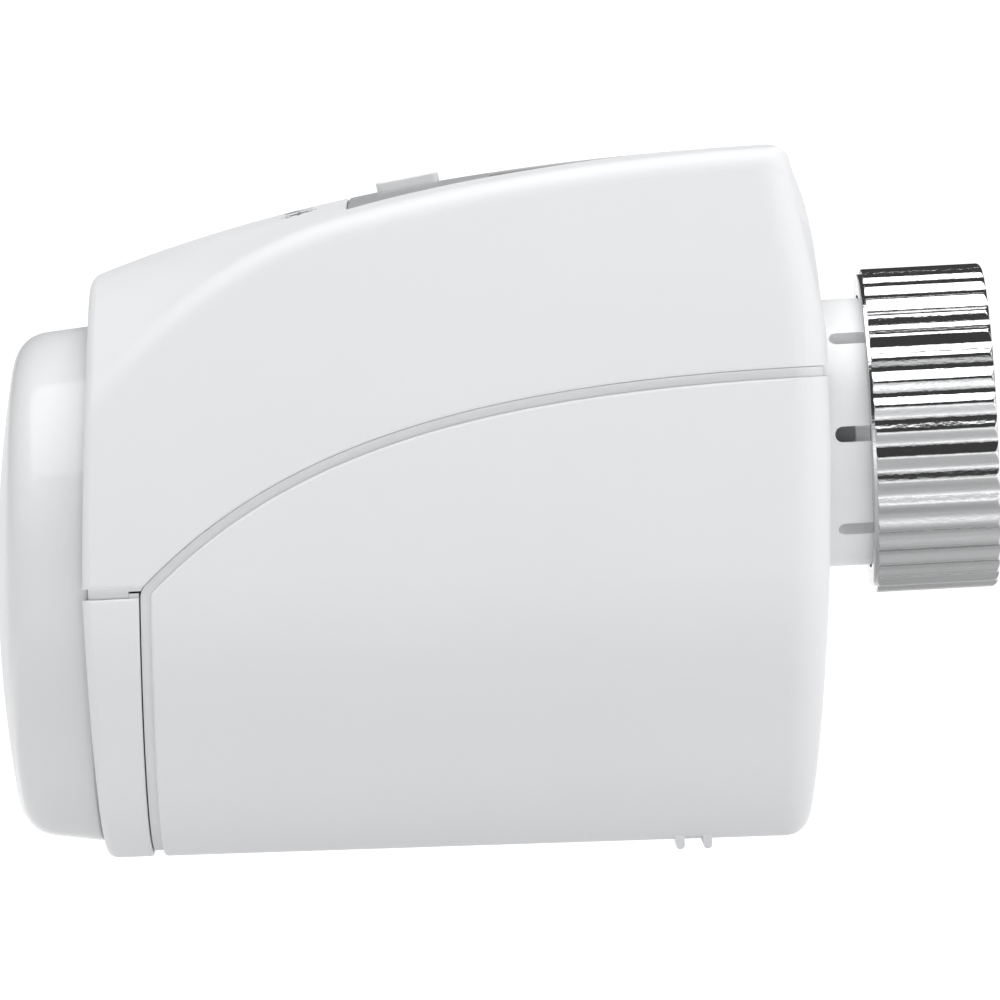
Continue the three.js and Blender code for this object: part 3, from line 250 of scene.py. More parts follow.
def ring_x(x, radius, angle, y=0.0, z=0.0):
    """Ring about a line along X; its radius may differ from angle to angle."""
    points = (np.full(len(angle), x), y + radius * np.cos(angle), z + radius * np.sin(angle))
    return np.stack(points, axis=1)


def turned_x(profile, segments=96, y=0.0, z=0.0):
    """Body of revolution about a line along X, from (x, radius) pairs. A profile that
    starts and ends on the axis is capped there; any other is a closed loop."""
    loop = profile[0][1] > 0
    angle = np.linspace(0, 2 * math.pi, segments, endpoint=False)
    rings = [ring_x(x, radius, angle, y, z) for x, radius in profile if radius > 0]
    return skin(rings, loop)


def prism_y(outline, y0, y1):
    """Prism of an (x, z) outline between two Y positions."""
    rings = [[(x, y, z) for x, z in outline] for y in (y0, y1)]
    return polygon_solid(rings)


def prism_z(outline, z0, z1):
    """Prism of an (x, y) outline between two Z positions."""
    rings = [[(x, y, z) for x, y in outline] for z in (z0, z1)]
    return polygon_solid(rings)


def polygon_solid(rings):
    """Solid between equal rings of any outline, whose two ends are single flat faces."""
    size = len(rings[0])
    vertices = [point for ring in rings for point in ring]
    faces = [tuple(range(size)), tuple(range(size * (len(rings) - 1), size * len(rings)))]
    for i in range(len(rings) - 1):
        for j in range(size):
            k = (j + 1) % size
            faces.append((i * size + j, i * size + k, (i + 1) * size + k, (i + 1) * size + j))
    return mesh_object(vertices, faces)


def block(x0, x1, y0, y1, z0, z1):
    return prism_z([(x0, y0), (x1, y0), (x1, y1), (x0, y1)], z0, z1)


def arc(x, y, radius, start, stop, steps):
    """Points round part of a circle, from one angle to another."""
    return [
        (x + radius * math.cos(angle), y + radius * math.sin(angle))
        for angle in np.linspace(start, stop, steps + 1)
    ]


def rounded_rectangle(length, width, radius, x=0.0, y=0.0, steps=8):
    """(x, y) outline with round corners."""
    points = []
    for corner, (sx, sy) in enumerate(((1, 1), (-1, 1), (-1, -1), (1, -1))):
        centre = (x + sx * (length / 2 - radius), y + sy * (width / 2 - radius))
        points += arc(*centre, radius, corner * QUARTER, (corner + 1) * QUARTER, steps)
    return points


def moved(obj, matrix):
    obj.data.transform(matrix)
    return obj


def turned_at(place, angle, axis="Y"):
    """Matrix that turns about an axis and then moves the origin to a place."""
    return Matrix.Translation(place) @ Matrix.Rotation(angle, 4, axis)


def combine(operation, target, tools):
    """The target after a boolean with each tool; the tools are used up."""
    for tool in tools:
        modifier = target.modifiers.new("combine", "BOOLEAN")
        modifier.solver = "MANIFOLD"
        modifier.operation = operation
        modifier.object = tool
    graph = bpy.context.evaluated_depsgraph_get()
    result = bpy.data.meshes.new_from_object(target.evaluated_get(graph))
    target.modifiers.clear()
    target.data = result
    for tool in tools:
        bpy.data.objects.remove(tool)
    return target


def cut(target, *tools):
    return combine("DIFFERENCE", target, tools)


def joined(target, *tools):
    return combine("UNION", target, tools)


def common(target, *tools):
    return combine("INTERSECT", target, tools)


def copied(obj):
    return linked("copy", obj.data.copy())


def smooth_by_angle(mesh, degrees):
    """Smooth shading, with the edges sharper than this angle kept crisp."""
    form = bmesh.new()
    form.from_mesh(mesh)
    bmesh.ops.remove_doubles(form, verts=form.verts, dist=1e-8)
    for edge in form.edges:
        edge.smooth = len(edge.link_faces) == 2 and edge.calc_face_angle() < math.radians(degrees)
    for face in form.faces:
        face.smooth = True
    form.to_mesh(mesh)
    form.free()


def finished(obj, name, body, material, replaced=(), angle=30.0):
    """Scale a piece to metres, shade it, paint it, and hand it to the frame."""
    obj.name = name
    obj.data.name = name
    obj.data.transform(Matrix.Scale(MM, 4))
    smooth_by_angle(obj.data, angle)
    obj.data.materials.clear()
    obj.data.materials.append(material)
    weighted = obj.modifiers.new("weighted normals", "WEIGHTED_NORMAL")
    weighted.keep_sharp = True
    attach(obj, body)
    if replaced:
        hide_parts(*replaced)
    return obj


# ---- materials


def feed(tree, node, inputs):
    """Set inputs of a node to plain values, or link them to the outputs given."""
    for name, value in inputs.items():
        if isinstance(value, bpy.types.NodeSocket):
            tree.links.new(value, node.inputs[name])
        else:
            node.inputs[name].default_value = value


def added(tree, kind, inputs):
    """A new shader node with these inputs."""
    node = tree.nodes.new("ShaderNode" + kind)
    feed(tree, node, inputs)
    return node


def shader(name):
    """A new node material: its tree, its Principled shader and object coordinates."""
    material = bpy.data.materials.new(name)
    material.use_nodes = True
    tree = material.node_tree
    place = added(tree, "TexCoord", {}).outputs["Object"]
    return material, tree, tree.nodes["Principled BSDF"], place


def noise(tree, place, scale, detail=3.0, stretch=(1.0, 1.0, 1.0)):
    """Noise of a given scale per metre, from 0 to 1."""
    mapped = added(tree, "Mapping", {"Vector": place, "Scale": stretch}).outputs["Vector"]
    inputs = {"Vector": mapped, "Scale": scale, "Detail": detail}
    return added(tree, "TexNoise", inputs).outputs["Fac"]


def ramp(tree, value, start, stop, low=0.0, high=1.0):
    """A value mapped in a straight line from start and stop to low and high, clamped."""
    inputs = {"Value": value, "From Min": start, "From Max": stop, "To Min": low, "To Max": high}
    return added(tree, "MapRange", inputs).outputs["Result"]


def spread(tree, value, low, high):
    """Noise mapped to a range."""
    return ramp(tree, value, 0.3, 0.7, low, high)


def math_node(tree, operation, first, second=0.0):
    """The result of a sum on two values, each an output or a number."""
    node = added(tree, "Math", {0: first, 1: second})
    node.operation = operation
    return node.outputs["Value"]


def distance_from(tree, place, point):
    node = added(tree, "VectorMath", {0: place, 1: point})
    node.operation = "DISTANCE"
    return node.outputs["Value"]


def split_place(tree, place):
    """The X, Y and Z outputs of a place."""
    return added(tree, "SeparateXYZ", {"Vector": place}).outputs


def tinted(tree, factor, first, second):
    """Colour between two, by a factor; the second may be another colour's output."""
    mix = tree.nodes.new("ShaderNodeMix")
    mix.data_type = "RGBA"
    if isinstance(second, tuple):
        second = (*second, 1.0)
    feed(tree, mix, {"Factor": factor, "A": (*first, 1.0), "B": second})
    return mix.outputs["Result"]


def bumped(tree, principled, height, distance):
    bump = added(tree, "Bump", {"Height": height, "Distance": distance, "Strength": 1.0})
    feed(tree, principled, {"Normal": bump.outputs["Normal"]})


def plastic(name, colour, roughness, grain=2600.0, depth=4e-6, shade=0.97, coat=0.0, specular=0.5):
    """Moulded plastic: a fine spark-eroded grain, faint flow marks and uneven gloss."""
    material, tree, principled, place = shader(name)
    darker = tuple(channel * shade for channel in colour)
    gloss = noise(tree, place, 160.0, 4.0)
    feed(tree, principled, {
        "Base Color": tinted(tree, noise(tree, place, 38.0, 2.0), darker, colour),
        "Roughness": spread(tree, gloss, roughness - 0.04, roughness + 0.04),
        "Coat Weight": coat,
        "Coat Roughness": 0.03,
        "Specular IOR Level": specular,
    })
    bumped(tree, principled, noise(tree, place, grain, 2.0), depth)
    return material


def metal(name, colour, roughness, streak=(1.0, 1.0, 1.0), grain=900.0, depth=2e-6):
    """Drawn, turned or plated metal with fine streaks."""
    material, tree, principled, place = shader(name)
    lines = noise(tree, place, grain, 4.0, streak)
    darker = tuple(channel * 0.9 for channel in colour)
    feed(tree, principled, {
        "Metallic": 1.0,
        "Base Color": tinted(tree, lines, darker, colour),
        "Roughness": spread(tree, lines, roughness * 0.7, roughness * 1.4),
    })
    bumped(tree, principled, lines, depth)
    return material


WHITE = (0.745, 0.751, 0.764)

housing_white = plastic("housing_white", WHITE, 0.50, specular=0.2)
dial_white = plastic(
    "dial_white", (0.68, 0.69, 0.70), 0.40, 1800.0, 1e-6, shade=0.99, coat=0.30, specular=0.15)
inner_white = plastic("inner_white", (0.66, 0.67, 0.68), 0.55, 1500.0, 8e-6)
collar_white = plastic("collar_white", (0.90, 0.905, 0.91), 0.40, 2200.0, 3e-6)
button_grey = plastic("button_grey", (0.80, 0.805, 0.81), 0.34, 2600.0, 3e-6)
panel_grey = plastic("panel_grey", (0.40, 0.41, 0.42), 0.38, 2600.0, 3e-6)
print_grey = plastic("print_grey", (0.22, 0.225, 0.23), 0.45, 3000.0, 3e-6)
black_plastic = plastic("black_plastic", (0.02, 0.02, 0.022), 0.42, 2400.0, 6e-6, shade=0.8)
board_green = plastic("board_green", (0.02, 0.13, 0.05), 0.30, 420.0, 2e-5, shade=0.7, coat=0.4)
ribbon_grey = plastic("ribbon_grey", (0.40, 0.41, 0.42), 0.45, 700.0, 1e-5, shade=0.85)
lead_red = plastic("lead_red", (0.50, 0.03, 0.02), 0.35, 900.0, 4e-6, shade=0.85)
lead_black = plastic("lead_black", (0.018, 0.018, 0.02), 0.35, 900.0, 4e-6, shade=0.8)
lcd_glass = plastic("lcd_glass", (0.28, 0.33, 0.27), 0.12, 240.0, 1e-6, shade=0.94, coat=0.5)
acetal = plastic("acetal", (0.74, 0.71, 0.64), 0.33, 900.0, 3e-6)
chrome = metal("chrome", (0.54, 0.544, 0.55), 0.10, (0.35, 1.0, 1.0), 3600.0, 2.0e-5)
steel = metal("steel", (0.60, 0.60, 0.61), 0.26, (1.0, 1.0, 1.0), 1200.0)
motor_steel = metal("motor_steel", (0.52, 0.52, 0.53), 0.32, (0.06, 1.0, 1.0), 700.0)

# ---- housing form

# Steps along each stretch of a section.
LOWER_STEPS = 112
SIDE_STEPS = 3
FILLET_STEPS = 10
ARCH_STEPS = 44


def section_layout():
    """Where each point of a section lies: its stretch, its share along it, its side."""
    layout = [("lower", i / LOWER_STEPS, 1) for i in range(LOWER_STEPS + 1)]
    layout += [("side", i / SIDE_STEPS, 1) for i in range(1, SIDE_STEPS + 1)]
    layout += [("fillet", i / FILLET_STEPS, 1) for i in range(1, FILLET_STEPS + 1)]
    layout += [("arch", i / ARCH_STEPS, 1) for i in range(1, ARCH_STEPS)]
    layout += [("fillet", i / FILLET_STEPS, -1) for i in range(FILLET_STEPS, 0, -1)]
    layout += [("side", i / SIDE_STEPS, -1) for i in range(SIDE_STEPS, 0, -1)]
    stretch, share, side = zip(*layout)
    return np.array(stretch), np.array(share), np.array(side)


STRETCH, SHARE, SIDE = section_layout()


def bottom_height(x):
    return BOTTOM_Z + BOTTOM_SLOPE * (x - BOTTOM_X)


def crest_height(x):
    d = CREST_X - x
    return CREST_Z - CREST_SQUARE * d ** 2 - CREST_FOURTH * d ** 4


def shoulder_drop(x):
    """How far the shoulders lie below the crest; more so near the dial."""
    d = CREST_X - x
    front = np.maximum(0, d - SHOULDER_FRONT_START)
    return SHOULDER_DROP + SHOULDER_SQUARE * d ** 2 + SHOULDER_FRONT * front ** 2


def seam_height(x):
    d = np.maximum(0, CREST_X - x)
    return SEAM_Z - sum(share * d ** power for power, share in SEAM_FALL.items())


def bezel_rear(z):
    """X of the front bezel's rear edge, which is square to the dial's axis."""
    return BEZEL_REAR_X + math.tan(DIAL_TILT) * (z - SEAM_CORNER_Z)


def front_face(y, z):
    """X of the dial end, which leans back above the dial's axis."""
    rise = np.maximum(0, z - FRONT_LEAN_Z)
    return FRONT_X + rise * (FRONT_LEAN * rise + FRONT_SIDE_LEAN * (y / BODY_RADIUS) ** 2)


def end_face(z):
    """X of the slightly bowed valve end."""
    fall = END_PEAK_Z - z
    above = END_X - fall ** 2 / END_BOW_ABOVE
    below = END_X - END_SLOPE_BELOW * fall - END_BOW_BELOW * fall ** 2
    return np.where(fall < 0, above, below)


def section(x, inset):
    """Y and Z of a section's points, and the rounding each gets at the valve end.
    x and inset hold one value for each point."""
    radius = BODY_RADIUS - inset
    centre = bottom_height(x) + BODY_RADIUS
    crest = crest_height(x) - inset
    drop = shoulder_drop(x)
    shoulder = crest - drop
    arch_radius = (radius ** 2 + drop ** 2) / (2 * drop)
    arch_start = np.arcsin(radius / arch_radius) - SHOULDER_FILLET / arch_radius
    lower_angle = math.pi * (1 + SHARE)
    arch_share = np.where(STRETCH == "fillet", 0.0, SHARE)
    arch_angle = arch_start * (1 - 2 * arch_share)
    arch_y = arch_radius * np.sin(arch_angle)
    arch_z = crest - arch_radius * (1 - np.cos(arch_angle))
    side_top = shoulder - SHOULDER_FILLET
    start, corner, end = (1 - SHARE) ** 2, 2 * SHARE * (1 - SHARE), SHARE ** 2
    stretches = [STRETCH == "lower", STRETCH == "side", STRETCH == "fillet", STRETCH == "arch"]
    y = np.select(stretches, [
        radius * np.cos(lower_angle),
        SIDE * radius,
        SIDE * ((start + corner) * radius + end * arch_y),
        arch_y,
    ])
    z = np.select(stretches, [
        centre + radius * np.sin(lower_angle),
        centre + (side_top - centre) * SHARE,
        start * side_top + corner * shoulder + end * arch_z,
        arch_z,
    ])
    rounding = np.select(stretches, [
        END_ROUND_BOTTOM + (END_ROUND_SIDE - END_ROUND_BOTTOM) * np.abs(y) / radius,
        np.full_like(y, END_ROUND_SIDE),
        END_ROUND_SIDE - (END_ROUND_SIDE - END_ROUND_TOP) * SHARE,
        np.full_like(y, END_ROUND_TOP),
    ])
    return y, z, rounding


def envelope(inset, rows=56, round_rows=10, face_rows=9):
    """The housing's solid form, moved in from the outer surface by inset."""
    middle_z = -5.0
    size = len(SHARE)
    flat = np.full(size, inset)
    front_y, front_z, _ = section(np.full(size, float(front_face(0.0, 0.0))), flat)
    _, end_z, end_round = section(np.full(size, END_X), flat)
    front_corner = np.full(size, max(SMALLEST_ROUND, FRONT_ROUND - inset))
    end_corner = np.maximum(SMALLEST_ROUND, end_round - inset)
    front_x = front_face(front_y, front_z) + inset
    end_x = end_face(end_z) - inset
    start = front_x + front_corner
    stop = end_x - end_corner

    def ring(x, extra):
        y, z, _ = section(x, flat + extra)
        return np.stack([x, y, z], axis=1)

    def corner_ring(face_x, way, radius, angle):
        """Ring on a corner, whose angle is a quarter turn at the face and 0 at the side."""
        lift = radius * (1 - np.sin(angle))
        return ring(face_x + way * lift, radius * (1 - np.cos(angle)))

    def face_rings(edge, face_at):
        """Rings on an end face, from its edge towards its middle."""
        inside = []
        for i in range(1, face_rows):
            share = 1 - i / face_rows
            y = edge[:, 1] * share
            z = middle_z + (edge[:, 2] - middle_z) * share
            inside.append(np.stack([face_at(y, z), y, z], axis=1))
        return inside

    rings = []
    for i in range(round_rows):
        rings.append(corner_ring(front_x, 1, front_corner, (1 - i / round_rows) * QUARTER))
    for i in range(rows + 1):
        rings.append(ring(start + (stop - start) * i / rows, np.zeros(size)))
    for i in range(1, round_rows + 1):
        rings.append(corner_ring(end_x, -1, end_corner, i / round_rows * QUARTER))
    front = face_rings(rings[0], lambda y, z: front_face(y, z) + inset)
    end = face_rings(rings[-1], lambda y, z: end_face(z) - inset)
    return skin(front[::-1] + rings + end)


# ---- parting lines

FAR = 60.0


def seam_line(offset, stop_z, steps=72):
    """(x, z) points on the seam, moved square to it towards the cover by offset, from
    the valve end down to the level stop_z."""
    points = []
    for i in range(steps + 1):
        x = -90.0 * i / steps
        d = max(0.0, CREST_X - x)
        slope = sum(power * share * d ** (power - 1) for power, share in SEAM_FALL.items())
        length = math.hypot(1, slope)
        point = (x + offset * slope / length, float(seam_height(x)) - offset / length)
        if point[1] < stop_z:
            before = points[-1]
            t = (before[1] - stop_z) / (before[1] - point[1])
            points.append((before[0] + (point[0] - before[0]) * t, stop_z))
            break
        points.append(point)
    return points


def rear_line(offset, top, bottom=-27.0, steps=14):
    """(x, z) points down the bezel's rear edge, moved towards the cover by offset."""
    levels = [top + (bottom - top) * i / steps for i in range(steps + 1)]
    return [(bezel_rear(z) + offset, z) for z in levels]


def rounded_corner(before, after, radius, steps=10):
    """Two lines that meet at a corner, joined by an arc instead."""
    corner = Vector(after[0])
    back = (Vector(before[-2]) - corner).normalized()
    onward = (Vector(after[1]) - corner).normalized()
    half = back.angle(onward) / 2
    reach = radius / math.tan(half)
    centre = corner + (back + onward).normalized() * radius / math.sin(half)
    start = corner + back * reach - centre
    turn = start.angle_signed(corner + onward * reach - centre)
    bend = []
    for i in range(steps + 1):
        angle = -turn * i / steps
        bend.append((
            centre.x + start.x * math.cos(angle) - start.y * math.sin(angle),
            centre.y + start.x * math.sin(angle) + start.y * math.cos(angle),
        ))
    kept = [p for p in before if (Vector(p) - corner).length > reach]
    rest = [p for p in after if (Vector(p) - corner).length > reach]
    return kept + bend + rest


def cover_line():
    """(x, z) edge of the battery cover: the seam, a round corner, the bezel's edge."""
    top = SEAM_CORNER_Z - SEAM_GAP
    for _ in range(6):
        seam = seam_line(SEAM_GAP, top)
        top -= seam[-1][0] - (bezel_rear(top) + BEZEL_GAP)
    seam = seam_line(SEAM_GAP, top)
    return rounded_corner(seam, rear_line(BEZEL_GAP, top), COVER_CORNER)


def upper_region():
    outline = [(0.0, FAR), *seam_line(0.0, SEAM_CORNER_Z), (-2 * FAR, SEAM_CORNER_Z), (-2 * FAR, FAR)]
    return prism_y(outline, -FAR, FAR)


def cover_region():
    outline = [(0.0, -FAR), *cover_line(), (bezel_rear(-FAR) + BEZEL_GAP, -FAR)]
    return prism_y(outline, -FAR, FAR)


def bezel_region(top):
    outline = [(-2 * FAR, -FAR), (-2 * FAR, top), *rear_line(0.0, top, -FAR, 1)]
    return prism_y(outline, -FAR, FAR)


def corner_profile(lip=0.0):
    """Cross-section of an edge tool, as (distance into the piece, depth). It rounds the
    piece's edge; with a lip it also sinks a strip of that width along the edge."""
    outside = 0.7
    if lip:
        floor_points = [(lip, GROOVE_DEPTH), (-outside, GROOVE_DEPTH)]
    else:
        floor_points = [(-outside, EDGE_ROUND)]
    round_points = arc(lip + EDGE_ROUND, EDGE_ROUND, EDGE_ROUND, -QUARTER, -2 * QUARTER, 6)
    return [(-outside, -outside), (lip + EDGE_ROUND, -outside), *round_points, *floor_points]


def edge_tool(places, profile):
    """Sweep of a corner profile over places, each a (point, outward, into the piece)."""
    rings = []
    for point, outward, inward in places:
        point, outward, inward = (np.array(v, float) for v in (point, outward, inward))
        rings.append([point + inward * into - outward * depth for into, depth in profile])
    return polygon_solid(rings)


def edge_tools(places_on, profile):
    """The tools along an edge on the near and the far side."""
    return [edge_tool(places_on(side), profile) for side in (-1, 1)]


def mitred(points, sign):
    """Unit square directions along an (x, z) line, stretched at its corners so that
    offset lines stay parallel. Sign 1 points down and right of a line that runs left."""
    points = np.array(points)
    along = np.diff(points, axis=0)
    along /= np.linalg.norm(along, axis=1)[:, None]
    square = sign * np.stack([-along[:, 1], along[:, 0]], axis=1)
    before = np.vstack([square[:1], square])
    after = np.vstack([square, square[-1:]])
    return (before + after) / (1 + (before * after).sum(axis=1))[:, None]


def wall_place(x, z, side, inward):
    """Place on the housing's side wall at (x, z); inward is an (x, z) direction."""
    fall = min(0.0, z - float(bottom_height(x)) - BODY_RADIUS) / BODY_RADIUS
    level = math.sqrt(max(0.0, 1 - fall ** 2))
    point = (x, side * BODY_RADIUS * level, z)
    return point, (0.0, side * level, fall), (inward[0], -side * inward[1] * fall, inward[1] * level)


def end_places(offset, sign, side):
    """Places across the valve end, from the collar's opening, and round its corner."""
    z = float(seam_height(END_X)) - offset
    wall_x = float(end_face(z))
    up = (0.0, 0.0, -sign)
    straight = BODY_RADIUS - END_ROUND_SIDE
    places = [((wall_x, side * y, z), (1.0, 0.0, 0.0), up) for y in (12.0, straight)]
    for i in range(1, 12):
        angle = i / 12 * QUARTER
        outward = (math.cos(angle), side * math.sin(angle), 0.0)
        point = (
            wall_x - END_ROUND_SIDE + END_ROUND_SIDE * outward[0],
            side * straight + END_ROUND_SIDE * outward[1],
            z,
        )
        places.append((point, outward, up))
    return places


def behind_corner(line):
    """The part of a line along the side wall that is behind the valve end's corner."""
    return [p for p in line if p[0] < END_X - END_ROUND_SIDE - 0.4]


def upper_edge_places(side):
    line = behind_corner(seam_line(0.0, SEAM_CORNER_Z)) + [(-2 * FAR, SEAM_CORNER_Z)]
    places = end_places(0.0, -1, side)
    for (x, z), (dx, dz) in zip(line, mitred(line, -1)):
        places.append(((x, side * BODY_RADIUS, z), (0.0, side, 0.0), (dx, 0.0, dz)))
    return places


def cover_edge_places(side):
    """Round the edge of one half of the cover, from the collar to the lowest point."""
    line = behind_corner(cover_line())
    places = end_places(SEAM_GAP, 1, side)
    for (x, z), inward in zip(line, mitred(line, 1)):
        places.append(wall_place(x, z, side, inward))
    return places + bottom_places(BEZEL_GAP, 1, side, line[-1][1])


def bottom_places(offset, way, side, top, steps=40):
    """Places round the bezel's rear edge from the level top past its lowest point."""
    centre = float(bottom_height(BEZEL_REAR_X)) + BODY_RADIUS
    start = math.asin((top - centre) / BODY_RADIUS)
    places = []
    for i in range(1, steps + 1):
        angle = start + (-QUARTER - 0.01 - start) * i / steps
        outward = (0.0, side * math.cos(angle), math.sin(angle))
        z = centre + BODY_RADIUS * outward[2]
        point = (bezel_rear(z) + offset, BODY_RADIUS * outward[1], z)
        places.append((point, outward, (way, 0.0, 0.0)))
    return places


def bezel_edge_places(side):
    """Round the bezel's rear edge on one side, from its top to the lowest point."""
    line = rear_line(0.0, SEAM_CORNER_Z + 2)
    places = [wall_place(x, z, side, (-1.0, 0.0)) for x, z in line]
    return places + bottom_places(0.0, -1, side, line[-1][1])


# ---- housing pieces

outer_form = envelope(0.0)
inner_form = envelope(WALL)
shell = cut(copied(outer_form), copied(inner_form))

dial_matrix = turned_at(DIAL_ORIGIN, DIAL_TILT)
button_matrix = turned_at((BUTTON_X, 0.0, float(crest_height(BUTTON_X))), -BUTTON_TILT)
board_matrix = turned_at(BOARD_ORIGIN, -BOARD_TILT)


def rod_x(x0, x1, radius, segments=96, y=0.0, z=0.0):
    return turned_x([(x0, 0.0), (x0, radius), (x1, radius), (x1, 0.0)], segments, y, z)


def rod_z(z0, z1, radius, segments=32, x=0.0, y=0.0):
    upright = turned_at((x, y, 0.0), -QUARTER)
    return moved(rod_x(z0, z1, radius, segments), upright)


def rod_on_dial(x0, x1, radius, segments=64):
    """Rod along the dial's tilted axis."""
    return moved(rod_x(x0, x1, radius, segments), dial_matrix)


def dial_pocket(x1):
    return rod_on_dial(-20.0, x1, POCKET_RADIUS, 192)


def collar_opening():
    return rod_x(-30.0, 0.0, COLLAR_RADIUS + COLLAR_CLEARANCE, 128)


def panel_outline(x_start, x_stop, margin, steps=40):
    """(x, y) outline of the display panel, or of a stretch of it."""
    def half_width(x):
        if x <= PANEL_SPLIT_X:
            share = (x - PANEL_LEFT_X) / (PANEL_SPLIT_X - PANEL_LEFT_X)
            return PANEL_HALF_LEFT + (PANEL_HALF_SPLIT - PANEL_HALF_LEFT) * share
        share = min(1.0, (x - PANEL_SPLIT_X) / (PANEL_RIGHT_X - PANEL_SPLIT_X))
        return PANEL_HALF_SPLIT * math.sqrt(1 - share ** 2)

    side = [(x_start - margin, half_width(x_start) + margin)]
    if x_stop > PANEL_SPLIT_X:
        length = PANEL_RIGHT_X - PANEL_SPLIT_X
        for i in range(0 if x_start < PANEL_SPLIT_X else 1, steps):
            x = PANEL_SPLIT_X + length * math.sin(i / steps * QUARTER)
            side.append((x + margin * i / steps, half_width(x) + margin))
        side.append((PANEL_RIGHT_X + margin, 0.0))
    else:
        side.append((x_stop + margin, half_width(x_stop) + margin))
    mirrored = [(x, -y) for x, y in reversed(side) if y > 0]
    return side + mirrored


def crown_places(x, way):
    """Places across the arched top at x, for a piece that lies towards way along X."""
    drop = shoulder_drop(x)
    radius = (BODY_RADIUS ** 2 + drop ** 2) / (2 * drop)
    slope = math.atan(crest_height(x + 0.5) - crest_height(x - 0.5))
    inward = (way * math.cos(slope), 0.0, way * math.sin(slope))
    places = []
    for y in np.linspace(-PANEL_HALF_LEFT - 0.04, PANEL_HALF_LEFT + 0.04, 41):
        lean = math.asin(y / radius)
        point = (x, y, crest_height(x) - radius * (1 - math.cos(lean)))
        outward = (-math.sin(slope), math.sin(lean), math.cos(slope) * math.cos(lean))
        places.append((point, outward, inward))
    return places


def upper_housing():
    obj = common(copied(shell), upper_region())
    cut(
        obj,
        prism_z(panel_outline(PANEL_LEFT_X, PANEL_RIGHT_X, PANEL_GAP), 15.0, FAR),
        dial_pocket(12.0),
        collar_opening(),
        *edge_tools(upper_edge_places, corner_profile()),
        edge_tool(crown_places(PANEL_LEFT_X - PANEL_GAP, -1), corner_profile()),
    )
    tongue = cut(envelope(GROOVE_DEPTH, 24, 4, 4), copied(inner_form))
    tongue_top = SEAM_CORNER_Z + 0.7
    blade = block(TONGUE_LEFT_X, TONGUE_RIGHT_X, -FAR, FAR, BEZEL_TOP_Z + 0.03, tongue_top)
    root = block(TONGUE_LEFT_X, BEZEL_REAR_X + 1.0, -FAR, FAR, TONGUE_Z, tongue_top)
    common(tongue, joined(blade, root))
    near_cover = moved(cover_region(), Matrix.Translation((-0.07, 0.0, 0.05)))
    cut(tongue, near_cover, dial_pocket(12.0))
    joined(obj, tongue)
    base = DECK_Z + 0.3
    posts = []
    holes = []
    for x, y, top in POSTS:
        wall_y = math.copysign(BODY_RADIUS - WALL / 2, y)
        posts.append(rod_z(base, top, POST_RADIUS, 32, x, y))
        rib = block(x - 0.8, x + 0.8, min(y, wall_y), max(y, wall_y), top - 6, top - 0.01)
        posts.append(rib)
        holes.append(rod_z(base - 1, base + 9, PILOT_RADIUS, 24, x, y))
    for x, y in BOARD_SCREWS:
        boss = moved(rod_z(BOARD_THICKNESS / 2 + 0.3, 8.0, BOSS_RADIUS, 32, x, y), board_matrix)
        posts.append(common(boss, copied(inner_form)))
        holes.append(moved(rod_z(0.0, 3.4, PILOT_RADIUS, 24, x, y), board_matrix))
    joined(obj, *posts)
    return cut(obj, *holes)


def front_bezel():
    """Half band with a sunken lip along its top, and the plate and bush that bear the dial."""
    band = common(copied(shell), bezel_region(BEZEL_LIP_Z))
    cut(band, dial_pocket(POCKET_FLOOR))
    plate_back = POCKET_FLOOR + BEARING_THICKNESS
    web = common(
        rod_on_dial(POCKET_FLOOR, plate_back, FAR),
        copied(outer_form),
        bezel_region(BEZEL_TOP_Z - 0.4),
    )
    cut(web, envelope(WALL + 1))
    plate = rod_on_dial(POCKET_FLOOR, plate_back, POCKET_RADIUS - 0.3, 192)
    bush = rod_on_dial(POCKET_FLOOR, 8.2, 6.5)
    joined(band, common(plate, copied(outer_form)), bush, web)
    lip = corner_profile(BEZEL_LIP_Z - BEZEL_TOP_Z)
    tools = []
    for side in (-1, 1):
        places = [
            ((x, side * BODY_RADIUS, BEZEL_LIP_Z), (0.0, side, 0.0), (0.0, 0.0, -1.0))
            for x in (-2 * FAR, BEZEL_REAR_X + 2)
        ]
        tools.append(edge_tool(places, lip))
        tools.append(edge_tool(bezel_edge_places(side), corner_profile()))
    tongue_way = block(-2 * FAR, TONGUE_RIGHT_X + 0.03, -FAR, FAR, BEZEL_TOP_Z, FAR)
    shaft_way = rod_on_dial(-1.0, 12.0, DIAL_SHAFT_RADIUS + 0.3)
    screw_ways = [rod_x(-95.0, -84.0, SCREW_WAY_RADIUS, 32, y, z) for y, z in BEZEL_SCREWS]
    return cut(band, *tools, tongue_way, shaft_way, *screw_ways)


def grip_ridge(x):
    """Short round-tipped ridge under the battery cover."""
    tip = float(bottom_height(x)) - 0.3
    outline = [(x - RIDGE_RADIUS, tip + 2), (x + RIDGE_RADIUS, tip + 2)]
    outline += arc(x, tip, RIDGE_RADIUS, 0.0, -2 * QUARTER, 14)
    return prism_y(outline, -6.0, 6.0)


def battery_cover():
    obj = common(copied(shell), cover_region())
    half_way = COLLAR_RADIUS + COLLAR_CLEARANCE
    collar_way = block(-30.0, 0.0, -half_way, half_way, 0.0, 20.0)
    cut(
        obj,
        *edge_tools(cover_edge_places, corner_profile(GROOVE - SEAM_GAP)),
        collar_opening(),
        collar_way,
    )
    ridges = [cut(grip_ridge(x), copied(inner_form)) for x in RIDGE_XS]
    return joined(obj, *ridges)


finished(upper_housing(), "housing_shell", "head", housing_white, ["upper_housing"])
finished(front_bezel(), "dial_bezel", "head", housing_white, ["front_bezel"])
finished(battery_cover(), "cover_shell", "cover", housing_white, ["battery_cover"])

# ---- dial


